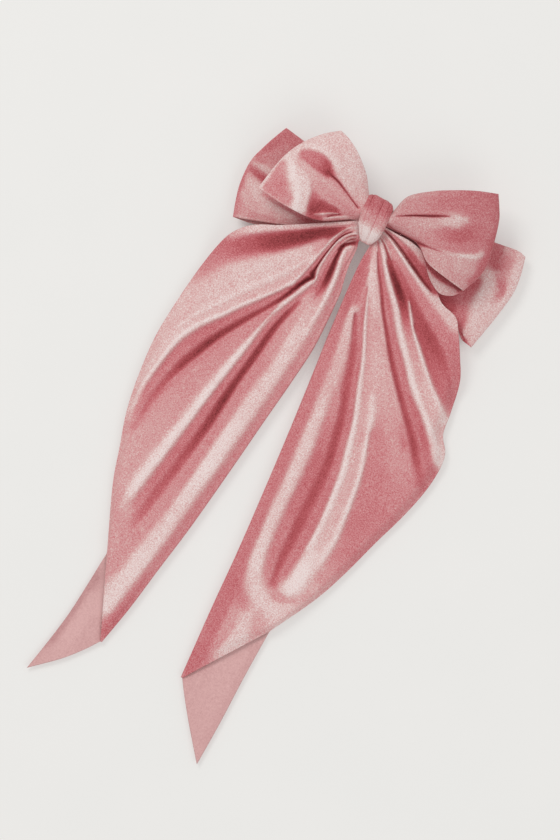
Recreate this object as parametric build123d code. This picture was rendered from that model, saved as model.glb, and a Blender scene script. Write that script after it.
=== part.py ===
from build123d import *
import os
from math import asin, degrees, sqrt

# A velvet bow barrette: a two-layer bow with two long tails, gathered under a
# knot band, on a spring-steel French barrette clip. All sizes are in millimetres.
#
# +X runs along the clip and the bow, +Y points to the top of the bow (the tails
# lead off towards -Y) and +Z points out of the front of the bow. The origin is
# on the flat underside of the clasp arm, straight below the centre of the knot.

# ---- driving dimensions: the barrette clip ----
CLIP_HALF = 40.0          # half the length of the base plate
PLATE_WIDTH = 8.0
PLATE_SHEET = 0.7
PLATE_TOP = 9.6           # crest of the arched base plate
PLATE_RISE = 2.8          # how far the plate's ends drop below its crest
PLATE_CORNER_R = 2.0      # on the catch end
TACK_HOLE_X = 31.0        # sewing holes, one each side of the middle
TACK_HOLE_R = 0.9

PIN_X = -38.4
PIN_Z = 1.5
PIN_R = 0.75
PIN_HEAD_R = 1.15
PIN_HEAD = 0.45
RUNNING_GAP = 0.05        # radial clearance of the arm's knuckle on the pin
EAR_SHEET = 0.7
EAR_HALF_LENGTH = 1.3     # the ears are rounded about the pin with this radius
EAR_GAP = 0.2             # between the arm's knuckle and each ear
FIXED_GAP = 0.02          # between pieces that are fastened flat together

ARM_SHEET = 0.7
ARM_HALF_WIDTH = 3.1
ARM_FLANGE = 2.3          # height of the arm's stiffening flanges
ARM_FLANGE_X = -35.8      # where the flanges begin
ARM_FLANGE_SLOPE = 2.0    # length over which a flange rises to its height
ARM_STEP_X = 31.5         # where the arm steps up to its catch frame
ARM_STEP = 1.5
FRAME_HALF_WIDTH = 4.0
FRAME_END_X = 39.8
FRAME_CORNER_R = 1.0
WINDOW_X = (33.2, 38.0)
WINDOW_HALF_WIDTH = 2.45

SPRING_SHEET = 0.35
SPRING_WIDTH = 3.8
SPRING_ROOT_X = -31.0     # middle of the spring's riveted root
SPRING_ROOT_HALF = 1.8
SPRING_REST = 0.06        # gap between the spring's root and the arm's floor
SPRING_BOW = [(-1.0, 3.0), (25.0, 1.7), (28.5, 1.9)]  # X and Z of the leaf past its root
RIVET_R = 0.6
RIVET_HEAD_R = 1.15
RIVET_HEAD = 0.4
HEAD_FILLET = 0.2

CATCH_SHEET = 0.5
CATCH_X = 35.8            # middle of the catch, where its rivet is
CATCH_HALF_LENGTH = 2.4
WING_Y = 2.1              # middle of each squeeze wing's sheet
WING_TOP = 5.75
WING_FOOT = 0.3
WING_BRIDGE_Z = 3.4       # underside of the part of a wing that spans the arm's end
WING_TAB_X = (40.5, 44.0)
GRIP_R = 0.25             # finger ridges on each wing's tab
GRIP_COUNT = 3
TOOTH = 0.5               # how far each wing's tooth stands out of its sheet
TOOTH_Z = (0.95, 1.4)     # the tooth hooks under the arm's catch frame

# ---- driving dimensions: the velvet ----
CLOTH = 0.9               # thickness of one layer of velvet
GATHER_HALF = 8.4         # the pieces are gathered to a bundle this far each side
GATHER_Y = (-9.4, 8.0)
REAR_GATHER_Z = (10.4, 13.7)
TAIL_GATHER_Z = (13.8, 17.2)
FRONT_GATHER_Z = (17.3, 22.1)
BAND_WIDTH = 16.0
BAND_SHEET = 1.1
BAND_FRONT_Z = 24.2
BAND_BACK_Z = 7.6
THREAD_R = 0.22
THREAD_TURNS = 5
BAND_EDGE_Y = (-13.2, 11.6)
BAND_SHOULDER_Z = (10.6, 21.0)  # between these heights the band's sides run straight
BAND_BACK_Y = (-8.2, 7.6)
TACK_TOP_Z = 11.5         # the tack stitches reach inside the rear bow's loops
TAIL_BEND_Y = -20.0       # the line across which each tail flexes below the knot
BEND_GAP = 0.15

PLATE_RADIUS = (CLIP_HALF**2 + PLATE_RISE**2) / (2 * PLATE_RISE)
ARCH_CENTRE_Z = PLATE_TOP - PLATE_RADIUS


def arch_z(x, depth=0.0):
    """Height of the arched plate's surface at x, depth below its front face."""
    return ARCH_CENTRE_Z + sqrt((PLATE_RADIUS - depth) ** 2 - x**2)


def arch_angle(x):
    """Tilt of the arched plate at x, in degrees."""
    return degrees(asin(x / PLATE_RADIUS))


def box_between(low, high):
    """An axis-aligned box from its lowest to its highest corner."""
    size = [h - l for l, h in zip(low, high)]
    middle = [(l + h) / 2 for l, h in zip(low, high)]
    return Pos(*middle) * Box(*size)


def rod_y(radius, x, z, half_length):
    """A cylinder lying along Y."""
    return Pos(x, 0, z) * Rot(90, 0, 0) * Cylinder(radius, 2 * half_length)


def plan(*edges):
    """A flat face in the XY plane, from edges in order."""
    return make_face(Curve() + list(edges))


def slab(face, low, high):
    """A plan face made into a solid between two heights."""
    return extrude(Pos(0, 0, low) * face, high - low)


def side_prism(edges, half_width):
    """A closed outline drawn in X and Z, given thickness along Y."""
    return extrude(Plane.XZ * make_face(Curve() + edges), half_width, both=True)


def arched_strip(x_low, x_high, front_depth, sheet, width):
    """A strip that follows the plate's arch, its front face front_depth below the plate's."""
    back_depth = front_depth + sheet
    middle = (x_low + x_high) / 2
    front = [(x, arch_z(x, front_depth)) for x in (x_low, middle, x_high)]
    back = [(x, arch_z(x, back_depth)) for x in (x_high, middle, x_low)]
    edges = [
        ThreePointArc(*front),
        Line(front[-1], back[0]),
        ThreePointArc(*back),
        Line(back[-1], front[0]),
    ]
    return side_prism(edges, width / 2)


# ---- barrette clip ----
def make_base_plate():
    outline = Rectangle(2 * CLIP_HALF, PLATE_WIDTH)
    outline = fillet(outline.vertices().group_by(Axis.X)[-1], PLATE_CORNER_R)
    plate = arched_strip(-CLIP_HALF, CLIP_HALF, 0, PLATE_SHEET, PLATE_WIDTH)
    plate &= slab(outline, 0, 2 * PLATE_TOP)
    for x in (-TACK_HOLE_X, TACK_HOLE_X):
        plate -= Pos(x, 0, PLATE_TOP) * Cylinder(TACK_HOLE_R, 4 * PLATE_RISE)
    plate -= Pos(CATCH_X, 0, PLATE_TOP) * Cylinder(RIVET_R, 4 * PLATE_RISE)
    ear_top = arch_z(PIN_X, PLATE_SHEET) + PLATE_SHEET / 2
    outer = PLATE_WIDTH / 2
    for y in (-outer, outer - EAR_SHEET):
        ear = box_between(
            (PIN_X - EAR_HALF_LENGTH, y, PIN_Z), (PIN_X + EAR_HALF_LENGTH, y + EAR_SHEET, ear_top)
        )
        ear += Pos(0, y + EAR_SHEET / 2, 0) * rod_y(EAR_HALF_LENGTH, PIN_X, PIN_Z, EAR_SHEET / 2)
        plate += ear
    return plate - rod_y(PIN_R + FIXED_GAP / 2, PIN_X, PIN_Z, PLATE_WIDTH)


def make_hinge_pin():
    outer = PLATE_WIDTH / 2
    pin = rod_y(PIN_R, PIN_X, PIN_Z, outer + PIN_HEAD)
    for side in (-1, 1):
        head = rod_y(PIN_HEAD_R, PIN_X, PIN_Z, PIN_HEAD / 2)
        head = fillet(head.edges().group_by(Axis.Y)[0 if side < 0 else -1], HEAD_FILLET)
        pin += Pos(0, side * (outer + FIXED_GAP + PIN_HEAD / 2), 0) * head
    return pin


def make_clasp_arm():
    half = ARM_HALF_WIDTH
    knuckle_half = PLATE_WIDTH / 2 - EAR_SHEET - EAR_GAP
    arm = box_between((PIN_X, -knuckle_half, 0), (ARM_STEP_X, knuckle_half, ARM_SHEET))
    arm += box_between((ARM_FLANGE_X, -half, 0), (ARM_STEP_X, half, ARM_SHEET))
    arm += rod_y(PIN_Z, PIN_X, PIN_Z, knuckle_half)
    flange_edges = [
        Polyline(
            (ARM_FLANGE_X, ARM_SHEET / 2),
            (ARM_FLANGE_X + ARM_FLANGE_SLOPE, ARM_FLANGE),
            (ARM_STEP_X - ARM_FLANGE_SLOPE, ARM_FLANGE),
            (ARM_STEP_X, ARM_SHEET / 2),
            close=True,
        )
    ]
    for side in (-1, 1):
        arm += Pos(0, side * (half - ARM_SHEET / 2), 0) * side_prism(flange_edges, ARM_SHEET / 2)
    ramp = [
        Polyline(
            (ARM_STEP_X - ARM_STEP, 0),
            (ARM_STEP_X, 0),
            (ARM_STEP_X + ARM_STEP, ARM_STEP),
            (ARM_STEP_X + ARM_STEP, ARM_STEP + ARM_SHEET),
            (ARM_STEP_X, ARM_SHEET),
            (ARM_STEP_X - ARM_STEP, ARM_SHEET),
            close=True,
        )
    ]
    arm += side_prism(ramp, half)
    frame = box_between(
        (ARM_STEP_X + ARM_STEP / 2, -FRAME_HALF_WIDTH, ARM_STEP),
        (FRAME_END_X, FRAME_HALF_WIDTH, ARM_STEP + ARM_SHEET),
    )
    frame = fillet(frame.edges().filter_by(Axis.Z), FRAME_CORNER_R)
    frame -= box_between(
        (WINDOW_X[0], -WINDOW_HALF_WIDTH, 0), (WINDOW_X[1], WINDOW_HALF_WIDTH, 2 * ARM_STEP)
    )
    arm += frame
    arm -= rod_y(PIN_R + RUNNING_GAP, PIN_X, PIN_Z, PLATE_WIDTH)
    return arm - Pos(SPRING_ROOT_X, 0, 0) * Cylinder(RIVET_R + FIXED_GAP, 4 * ARM_SHEET)


def make_tension_spring():
    root_z = ARM_SHEET + SPRING_REST
    start = (SPRING_ROOT_X - SPRING_ROOT_HALF, root_z)
    under = [(SPRING_ROOT_X + SPRING_ROOT_HALF, root_z), *SPRING_BOW]
    top = [(x, z + SPRING_SHEET) for x, z in under]
    end_slopes = [(1, 0), (1, 0.12)]
    edges = [
        Line(start, under[0]),
        Spline(*under, tangents=end_slopes),
        Line(under[-1], top[-1]),
        Spline(*top, tangents=end_slopes),
        Line(top[0], (start[0], root_z + SPRING_SHEET)),
        Line((start[0], root_z + SPRING_SHEET), start),
    ]
    leaf = side_prism(edges, SPRING_WIDTH / 2)
    return leaf - Pos(SPRING_ROOT_X, 0, 0) * Cylinder(RIVET_R + RUNNING_GAP, 4 * root_z)


def make_spring_rivet():
    """The leaf can rock a little under the rivet's head."""
    head_z = ARM_SHEET + SPRING_REST + SPRING_SHEET + 0.1
    from_below = (Align.CENTER, Align.CENTER, Align.MIN)
    shank = Pos(SPRING_ROOT_X, 0, SPRING_REST) * Cylinder(RIVET_R, head_z, align=from_below)
    head = Pos(SPRING_ROOT_X, 0, head_z) * Cylinder(RIVET_HEAD_R, RIVET_HEAD, align=from_below)
    return shank + fillet(head.edges().group_by(Axis.Z)[-1], HEAD_FILLET)


def make_catch_plate():
    """The pad of the catch, curved to lie on the back of the base plate."""
    pad = arched_strip(
        CATCH_X - CATCH_HALF_LENGTH,
        CATCH_X + CATCH_HALF_LENGTH,
        PLATE_SHEET + FIXED_GAP,
        CATCH_SHEET,
        2 * (WING_Y + CATCH_SHEET / 2),
    )
    return pad - Pos(CATCH_X, 0, PLATE_TOP) * Cylinder(RIVET_R, 4 * PLATE_RISE)


def make_catch_wing(side):
    """A squeeze wing: one leg hooks through the arm's window, the other is the finger tab."""
    leg_low, leg_high = WINDOW_X[0] + 0.4, WINDOW_X[1] - 0.5
    tab_low, tab_high = WING_TAB_X
    edges = [
        Polyline(
            (leg_low, WING_TOP),
            (leg_low, WING_FOOT),
            (leg_high, WING_FOOT),
            (leg_high, WING_BRIDGE_Z),
            (tab_low, WING_BRIDGE_Z),
            (tab_low, WING_FOOT),
            (tab_high, WING_FOOT),
            (tab_high, WING_BRIDGE_Z + 0.9),
            (leg_high, WING_TOP),
            close=True,
        )
    ]
    face_y = CATCH_SHEET / 2
    wing = side_prism(edges, face_y)
    tooth = Plane.YZ.offset(leg_low) * make_face(
        Polyline(
            (face_y, TOOTH_Z[1]),
            (face_y + TOOTH, TOOTH_Z[1]),
            (face_y + TOOTH, TOOTH_Z[0] + 0.1),
            (face_y, WING_FOOT + 0.1),
            close=True,
        )
    )
    wing += extrude(tooth, leg_high - leg_low)
    ridge_height = WING_BRIDGE_Z - WING_FOOT
    for i in range(GRIP_COUNT):
        x = tab_low + (tab_high - tab_low) * (i + 0.5) / GRIP_COUNT
        wing += Pos(x, face_y, WING_FOOT + ridge_height / 2) * Cylinder(GRIP_R, ridge_height)
    wing = Pos(0, WING_Y, 0) * wing
    return wing if side > 0 else mirror(wing, about=Plane.XZ)


def make_catch_rivet():
    """Headed on both sides, square to the arched plate."""
    depth = PLATE_SHEET + CATCH_SHEET + FIXED_GAP
    from_below = (Align.CENTER, Align.CENTER, Align.MIN)
    low_z = -depth - RIVET_HEAD
    low_head = Pos(0, 0, low_z) * Cylinder(RIVET_HEAD_R, RIVET_HEAD, align=from_below)
    top_head = Cylinder(RIVET_HEAD_R, RIVET_HEAD, align=from_below)
    rivet = Pos(0, 0, low_z) * Cylinder(RIVET_R, depth + RIVET_HEAD, align=from_below)
    rivet += fillet(low_head.edges().group_by(Axis.Z)[0], HEAD_FILLET)
    rivet += fillet(top_head.edges().group_by(Axis.Z)[-1], HEAD_FILLET)
    return Pos(CATCH_X, 0, arch_z(CATCH_X)) * Rot(0, arch_angle(CATCH_X), 0) * rivet


# ---- velvet bows ----
def loop_section(y, side, fold_x, heights, inset):
    """One slice of a bow loop at y: out along the front layer, round the fold, and back."""
    start = GATHER_HALF - 0.6 + 2 * inset
    reach = fold_x - inset - start

    def point(share, z):
        return (side * (start + reach * share), y, z)

    upper = [point(share, z - inset) for share, z in heights["upper"]]
    lower = [point(share, z + inset) for share, z in heights["lower"]]
    fold = point(1, heights["fold"])
    around = Spline(*upper, fold, *reversed(lower))
    return make_face(Curve() + [around, Line(around @ 1, around @ 0)])


def make_loop(side, fold_edge, heights, outline):
    """A hollow loop of velvet, folded along fold_edge and cut to its outline seen from the front."""
    outer = loft([loop_section(y, side, x, heights, 0) for x, y in fold_edge])
    inner = loft([loop_section(y, side, x, heights, CLOTH) for x, y in fold_edge])
    return (outer - inner) & slab(outline, 0, 60)


def make_gather(z_range):
    """The pinched middle of a velvet piece, inside the knot band."""
    return box_between(
        (-GATHER_HALF, GATHER_Y[0], z_range[0]), (GATHER_HALF, GATHER_Y[1], z_range[1])
    )


def loop_outline(side, top, fold, bottom):
    """A loop seen from the front: its top edge, its folded outer edge and its bottom edge."""
    start, end = (side * (GATHER_HALF - 0.6), GATHER_Y[1]), (side * (GATHER_HALF - 0.6), GATHER_Y[0])
    return plan(
        Spline(start, *top),
        Spline(top[-1], *fold, bottom[0]),
        Spline(*bottom, end),
        Line(end, start),
    )


def make_front_bow():
    heights = {
        "upper": [(0, FRONT_GATHER_Z[1]), (0.35, 30.0), (0.75, 34.0)],
        "fold": 25.5,
        "lower": [(0, FRONT_GATHER_Z[0]), (0.35, 17.9), (0.75, 18.2)],
    }
    right = make_loop(
        1,
        [(53, 46), (66.5, 8), (61, -20)],
        heights,
        loop_outline(1, [(20, 27), (36, 37), (55, 44)], [(67, 10)], [(62, -12), (40, -10), (20, -8.5)]),
    )
    left = make_loop(
        -1,
        [(39, 38), (60, 8), (66, -22)],
        heights,
        loop_outline(
            -1, [(-18, 21), (-28, 29), (-41, 34)], [(-60.5, 8)], [(-66, -15), (-42, -16), (-24, -12)]
        ),
    )
    return make_gather(FRONT_GATHER_Z) + right + left


def make_rear_bow():
    heights = {
        "upper": [(0, REAR_GATHER_Z[1]), (0.35, 13.4), (0.75, 11.5)],
        "fold": 6.0,
        "lower": [(0, REAR_GATHER_Z[0]), (0.35, 9.4), (0.75, 4.4)],
    }
    right = make_loop(
        1,
        [(84, 24), (87.5, 0), (80, -40)],
        heights,
        loop_outline(1, [(34, 17), (60, 20), (84, 21)], [(88, 0)], [(81, -38), (56, -29), (26, -15)]),
    )
    left = make_loop(
        -1,
        [(68, 24), (76.5, -6), (70, -40)],
        heights,
        loop_outline(
            -1, [(-30, 17), (-50, 21), (-69, 22)], [(-77, -6)], [(-71, -36), (-46, -27), (-22, -15)]
        ),
    )
    return make_gather(REAR_GATHER_Z) + right + left


# ---- velvet tails ----
def tail_layers(outer_edge, short_corner, fold_end, tip, long_edge, fold_edge, side):
    """A tail folded lengthwise: the front layer, the longer back layer and the fold that joins them."""
    drop = [(TAIL_BEND_Y, 0), (-38, 0.2), (-64, 8.8), (-130, 10.0), (-240, 11.6), (-330, 14.2)]
    front = [(y, TAIL_GATHER_Z[1] - d) for y, d in drop]
    back = [(TAIL_BEND_Y, TAIL_GATHER_Z[0]), (-36, TAIL_GATHER_Z[0] - 0.2), (-60, 0.5), (-330, 0.3)]

    def sheet(low_z, high_z):
        """The tail's side view between two height lines, wide enough for any outline."""
        face = make_face(Polyline(*low_z, *reversed(high_z), close=True))
        return extrude(Plane.YZ * face, 110, both=True)

    def shifted(line, dz):
        return [(y, z + dz) for y, z in line]

    start = (outer_edge[0][0], TAIL_BEND_Y)
    fold_start = (fold_edge[-1][0], TAIL_BEND_Y)
    front_plan = plan(
        Spline(*outer_edge, short_corner),
        Line(short_corner, fold_end),
        Spline(fold_end, *fold_edge),
        Line(fold_start, start),
    )
    back_plan = plan(
        Spline(*outer_edge, short_corner),
        Spline(short_corner, *long_edge, tip),
        Line(tip, fold_end),
        Spline(fold_end, *fold_edge),
        Line(fold_start, start),
    )
    front_layer = slab(front_plan, -1, 40) & sheet(shifted(front, -CLOTH), front)
    back_layer = slab(back_plan, -1, 40) & sheet(back, shifted(back, CLOTH))
    fold_wall = slab(front_plan - Pos(side * 1.2, 0, 0) * front_plan, -1, 40) & sheet(back, front)
    walls = [wall for wall in fold_wall.solids() if side * wall.center().X < side * short_corner[0] * 0.8]
    return front_layer + back_layer + walls


def make_left_tail():
    tail = tail_layers(
        outer_edge=[(-35, TAIL_BEND_Y), (-58, -34), (-72, -54), (-78, -112), (-69, -172)],
        short_corner=(-45, -235),
        fold_end=(-25, -281),
        tip=(-54.5, -313),
        long_edge=[(-48.5, -276)],
        fold_edge=[(-15, -225), (-2.5, -130), (2.2, -75), (0.5, TAIL_BEND_Y)],
        side=-1,
    )
    return Pos(0, -BEND_GAP, 0) * tail


def make_right_tail():
    tail = tail_layers(
        outer_edge=[(43, TAIL_BEND_Y), (66, -28), (87, -70), (97.5, -105), (85, -162)],
        short_corner=(55, -232),
        fold_end=(25, -277),
        tip=(55, -316),
        long_edge=[(55.5, -276)],
        fold_edge=[(21.5, -220), (13, -120), (8, -70), (4.2, TAIL_BEND_Y)],
        side=1,
    )
    return Pos(0, -BEND_GAP, 0) * tail


def make_tail_root():
    """The tails' gathered middle under the knot, and the flares that lead out of it."""
    clear_x, clear_y = BAND_WIDTH / 2 + 0.4, -13.6
    join = GATHER_HALF - 0.1
    body = make_gather(TAIL_GATHER_Z)
    for side, outer_x, inner_x in ((-1, 35, 0.5), (1, 43, 4.2)):
        inner = side * inner_x if side > 0 else inner_x
        flare = Polyline(
            (side * join, -3),
            (side * outer_x, TAIL_BEND_Y),
            (inner, TAIL_BEND_Y),
            (side * max(inner_x, 2.4), clear_y),
            (side * clear_x, clear_y),
            (side * clear_x, GATHER_Y[0]),
            (side * join, GATHER_Y[0]),
            close=True,
        )
        body += slab(make_face(flare), *TAIL_GATHER_Z)
    return body


# ---- knot band and thread ----
def band_loop(inset):
    """The knot band's path seen along X: wide over the bow, narrower behind the clip."""
    bottom, top = BAND_EDGE_Y[0] + inset, BAND_EDGE_Y[1] - inset
    back_low, back_high = BAND_BACK_Y[0] + inset / 2, BAND_BACK_Y[1] - inset / 2
    front, back = BAND_FRONT_Z - inset, BAND_BACK_Z + inset
    chamfer_y = 1.6
    return make_face(
        Polyline(
            (bottom, BAND_SHOULDER_Z[1]),
            (bottom + chamfer_y, front),
            (top - chamfer_y, front),
            (top, BAND_SHOULDER_Z[1]),
            (top, BAND_SHOULDER_Z[0]),
            (back_high, back),
            (back_low, back),
            (bottom, BAND_SHOULDER_Z[0]),
            close=True,
        )
    )


def make_knot_band():
    outer = extrude(Plane.YZ * band_loop(0), BAND_WIDTH / 2, both=True)
    outer = fillet(outer.edges().filter_by(Axis.X), 1.4)
    inner = extrude(Plane.YZ * band_loop(BAND_SHEET), BAND_WIDTH, both=True)
    inner = fillet(inner.edges().filter_by(Axis.X), 0.7)
    return outer - inner


def make_band_stitches():
    """Whip stitches that close the band's lapped seam on the back."""
    stitches = []
    for i in range(THREAD_TURNS):
        x = (i - (THREAD_TURNS - 1) / 2) * BAND_WIDTH / (THREAD_TURNS + 1)
        stitch = rod_y(THREAD_R, x, BAND_BACK_Z + THREAD_R / 4, 1.2)
        stitches.append(fillet(stitch.edges(), THREAD_R * 0.8))
    return Compound(children=stitches)


def thread_ring(x, y_range, z_range, corner_r):
    """One closed turn of thread across the clip at x."""
    loop = RectangleRounded(y_range[1] - y_range[0], z_range[1] - z_range[0], corner_r)
    loop = Plane.YZ.offset(x) * Pos(sum(y_range) / 2, sum(z_range) / 2) * loop
    path = loop.faces()[0].outer_wire()
    start = Plane(origin=path @ 0, z_dir=path % 0)
    return sweep(start * Circle(THREAD_R), path=path, transition=Transition.ROUND)


def make_gather_thread():
    """Turns of thread drawn tight round the whole gathered bundle, under the knot band."""
    clear = 0.3
    y_range = (GATHER_Y[0] - clear, GATHER_Y[1] + clear)
    z_range = (REAR_GATHER_Z[0] - clear, FRONT_GATHER_Z[1] + clear)
    pitch = 4 * THREAD_R
    first = -pitch * (THREAD_TURNS - 1) / 2
    turns = [thread_ring(first + i * pitch, y_range, z_range, 0.6) for i in range(THREAD_TURNS)]
    return Compound(children=turns)


def make_tack_stitches():
    """Stitches through the plate's end holes, holding the rear bow's back layer to the clip."""
    clear = 0.1 + THREAD_R
    y_range = (clear, PLATE_WIDTH / 2 + clear)
    stitches = []
    for x in (-TACK_HOLE_X, TACK_HOLE_X):
        z_range = (arch_z(x, PLATE_SHEET) - clear, TACK_TOP_Z)
        for low, high in (y_range, (-y_range[1], -y_range[0])):
            stitches.append(thread_ring(x, (low, high), z_range, 0.7))
    return Compound(children=stitches)


PARTS = {
    "base_plate": make_base_plate,
    "hinge_pin": make_hinge_pin,
    "clasp_arm": make_clasp_arm,
    "tension_spring": make_tension_spring,
    "spring_rivet": make_spring_rivet,
    "catch_plate": make_catch_plate,
    "catch_wing_upper": lambda: make_catch_wing(1),
    "catch_wing_lower": lambda: make_catch_wing(-1),
    "catch_rivet": make_catch_rivet,
    "rear_bow": make_rear_bow,
    "tail_root": make_tail_root,
    "left_tail": make_left_tail,
    "right_tail": make_right_tail,
    "front_bow": make_front_bow,
    "gather_thread": make_gather_thread,
    "knot_band": make_knot_band,
    "band_stitches": make_band_stitches,
    "tack_stitches": make_tack_stitches,
}

os.makedirs("parts", exist_ok=True)
for node, make in PARTS.items():
    export_step(make(), f"parts/{node}.step")
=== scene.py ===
import math

import bpy
import numpy as np
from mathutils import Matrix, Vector


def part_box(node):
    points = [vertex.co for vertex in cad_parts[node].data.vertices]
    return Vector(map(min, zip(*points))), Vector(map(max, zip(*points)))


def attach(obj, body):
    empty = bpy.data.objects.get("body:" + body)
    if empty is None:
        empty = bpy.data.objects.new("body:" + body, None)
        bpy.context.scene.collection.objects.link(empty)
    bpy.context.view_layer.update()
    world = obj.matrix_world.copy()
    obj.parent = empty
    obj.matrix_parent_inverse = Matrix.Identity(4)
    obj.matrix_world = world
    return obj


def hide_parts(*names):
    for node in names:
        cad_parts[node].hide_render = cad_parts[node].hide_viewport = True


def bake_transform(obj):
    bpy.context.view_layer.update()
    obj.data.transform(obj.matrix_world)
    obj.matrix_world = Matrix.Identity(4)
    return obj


# A velvet bow barrette. Plan positions are in millimetres in the row frame (+X along the clip,
# +Y to the top of the bow, +Z out of its front) and become metres when a mesh is made.

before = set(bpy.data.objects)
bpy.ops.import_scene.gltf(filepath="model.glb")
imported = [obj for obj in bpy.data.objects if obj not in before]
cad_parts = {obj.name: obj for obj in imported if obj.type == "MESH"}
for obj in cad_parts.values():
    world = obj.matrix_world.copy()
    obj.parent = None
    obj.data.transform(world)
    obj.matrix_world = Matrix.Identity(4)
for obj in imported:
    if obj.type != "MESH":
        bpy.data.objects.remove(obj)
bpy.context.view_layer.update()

MM = 0.001
CLOTH = 0.8  # thickness of the velvet sheet
BASE_BODY = "bow_and_plate"


def box_mm(node):
    """A CAD node's lowest and highest corners, in millimetres."""
    low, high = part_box(node)
    return np.array(low) / MM, np.array(high) / MM


# -------------------- curves
SPAN_STEPS = 24  # straight steps that each span of a curve is first cut into


def lengths(points):
    """The distance travelled along a polyline at each of its points."""
    steps = np.linalg.norm(np.diff(points, axis=0), axis=1)
    return np.concatenate([[0], np.cumsum(steps)])


def resample(points, count, crowding=1.0):
    """A polyline cut into count points along it, evenly or crowded towards its start."""
    length = lengths(points)
    at = length[-1] * np.linspace(0, 1, count) ** crowding
    return np.stack([np.interp(at, length, points[:, k]) for k in range(points.shape[1])], axis=1)


def curve(points, count):
    """A smooth curve through the points, cut into count points evenly spaced along it."""
    pts = np.array(points, float)
    if len(pts) == 2:
        t = np.linspace(0, 1, count)[:, None]
        return pts[0] * (1 - t) + pts[1] * t
    ends = np.vstack([2 * pts[0] - pts[1], pts, 2 * pts[-1] - pts[-2]])
    t = np.linspace(0, 1, SPAN_STEPS, endpoint=False)[:, None]
    spans = []
    for a, b, c, d in zip(ends, ends[1:], ends[2:], ends[3:]):
        bend = (2 * a - 5 * b + 4 * c - d) * t**2
        twist = (3 * b - a - 3 * c + d) * t**3
        spans.append(0.5 * (2 * b + (c - a) * t + bend + twist))
    return resample(np.vstack(spans + [pts[-1:]]), count)


def rise(value, start, end):
    """A smooth rise from 0 to 1 as a value goes from start to end."""
    t = np.clip((value - start) / (end - start), 0, 1)
    return t * t * (3 - 2 * t)


def bell(t):
    """1 at the middle, falling away within about 1 either side."""
    return np.exp(-(t**2))


def blurred(stops, at, width):
    """A value read from stops of (place, value), averaged over a width either side."""
    places, values = zip(*stops)
    shifts = np.linspace(-width, width, 5)
    return sum(np.interp(at + shift, places, values) for shift in shifts) / len(shifts)


# -------------------- folds
WANDER = 0.25  # how far fold lines stray from their drawn courses
WANDER_SIZE = 30  # the length over which they do
WAVES = 4
WAVES_PEAK = 2.2  # about the highest sum that so many waves reach
SOFTNESS = 0.3  # how quickly a fold line lets go of its tone
FALL_OFF = 3  # how sharply a line's share falls with distance
PATH_DENSITY = 5  # steps for each drawn point of a fold line


def near(xy, path):
    """Distance from each plan point to a path, and how far along the path it is."""
    best = np.full(len(xy), np.inf)
    along = np.zeros(len(xy))
    count = len(path) - 1
    for i in range(count):
        start = path[i]
        step = path[i + 1] - start
        t = np.clip((xy - start) @ step / max(step @ step, 1e-9), 0, 1)
        distance = np.linalg.norm(xy - start - t[:, None] * step, axis=1)
        closer = distance < best
        best[closer] = distance[closer]
        along[closer] = (i + t[closer]) / count
    return best, along


def waver(xy, seed):
    """A slow, smooth wander of about plus or minus 1 over the plan, different for each seed."""
    rng = np.random.default_rng(seed)
    total = np.zeros(xy.shape[:-1])
    for _ in range(WAVES):
        angle, phase = rng.uniform(0, 2 * math.pi, 2)
        heading = np.array([math.cos(angle), math.sin(angle)])
        step = heading * 2 * math.pi / (WANDER_SIZE * rng.uniform(0.6, 1.5))
        total += np.sin(xy @ step + phase)
    return total / WAVES_PEAK


def painted_light_tone(xy, lines):
    """Painted light and shade at each plan point: a tone shared between lines of known tone by how near they
    are.

    Each line is (reach, (x, y, tone), ...); a line with a longer reach claims a wider band.
    """
    flat = xy.reshape(-1, 2)
    flat = flat + WANDER * np.stack([waver(flat, 1), waver(flat, 2)], axis=1)
    total = np.zeros(len(flat))
    shares = np.zeros(len(flat))
    for reach, *points in lines:
        path = curve(points, PATH_DENSITY * len(points))
        distance, along = near(flat, path[:, :2])
        tone = np.interp(along, np.linspace(0, 1, len(path)), path[:, 2])
        share = (reach / (distance + SOFTNESS)) ** FALL_OFF
        total += share * tone
        shares += share
    return (total / shares).reshape(xy.shape[:-1])


# -------------------- meshes
def add_object(name, data):
    """A new object in the scene."""
    obj = bpy.data.objects.new(name, data)
    bpy.context.scene.collection.objects.link(obj)
    return obj


def grid_faces(rows, cols, closed):
    """The four-cornered faces of a grid of points; closed joins its last column to its first."""
    index = np.arange(rows * cols).reshape(rows, cols)
    if closed:
        index = np.hstack([index, index[:, :1]])
    corners = [index[:-1, :-1], index[:-1, 1:], index[1:, 1:], index[1:, :-1]]
    return np.stack(corners, axis=-1).reshape(-1, 4).tolist()


def sheet_mesh(name, points, tone, closed=False, painted_shade=0.0):
    """A grid of points, in millimetres, made into a mesh with its painted light-and-shade tone and its even
    painted shade.
    """
    rows, cols = points.shape[:2]
    mesh = bpy.data.meshes.new(name)
    mesh.from_pydata((points.reshape(-1, 3) * MM).tolist(), [], grid_faces(rows, cols, closed))
    for label, values in (("tone", tone), ("painted_shade", np.full(tone.shape, painted_shade))):
        layer = mesh.attributes.new(label, "FLOAT", "POINT")
        layer.data.foreach_set("value", values.reshape(-1).astype(np.float32))
    mesh.update()
    return add_object(name, mesh)


def thicken(obj, *materials):
    """Makes cloth of a sheet: the first material outside, the second, if any, inside."""
    for material in materials:
        obj.data.materials.append(material)
    solid = obj.modifiers.new("thickness", "SOLIDIFY")
    solid.thickness = CLOTH * MM
    solid.offset = -1.0
    solid.material_offset = 1
    solid.material_offset_rim = 0
    graph = bpy.context.evaluated_depsgraph_get()
    mesh = bpy.data.meshes.new_from_object(obj.evaluated_get(graph))
    obj.modifiers.clear()
    obj.data = mesh
    obj.data.shade_smooth()


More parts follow.
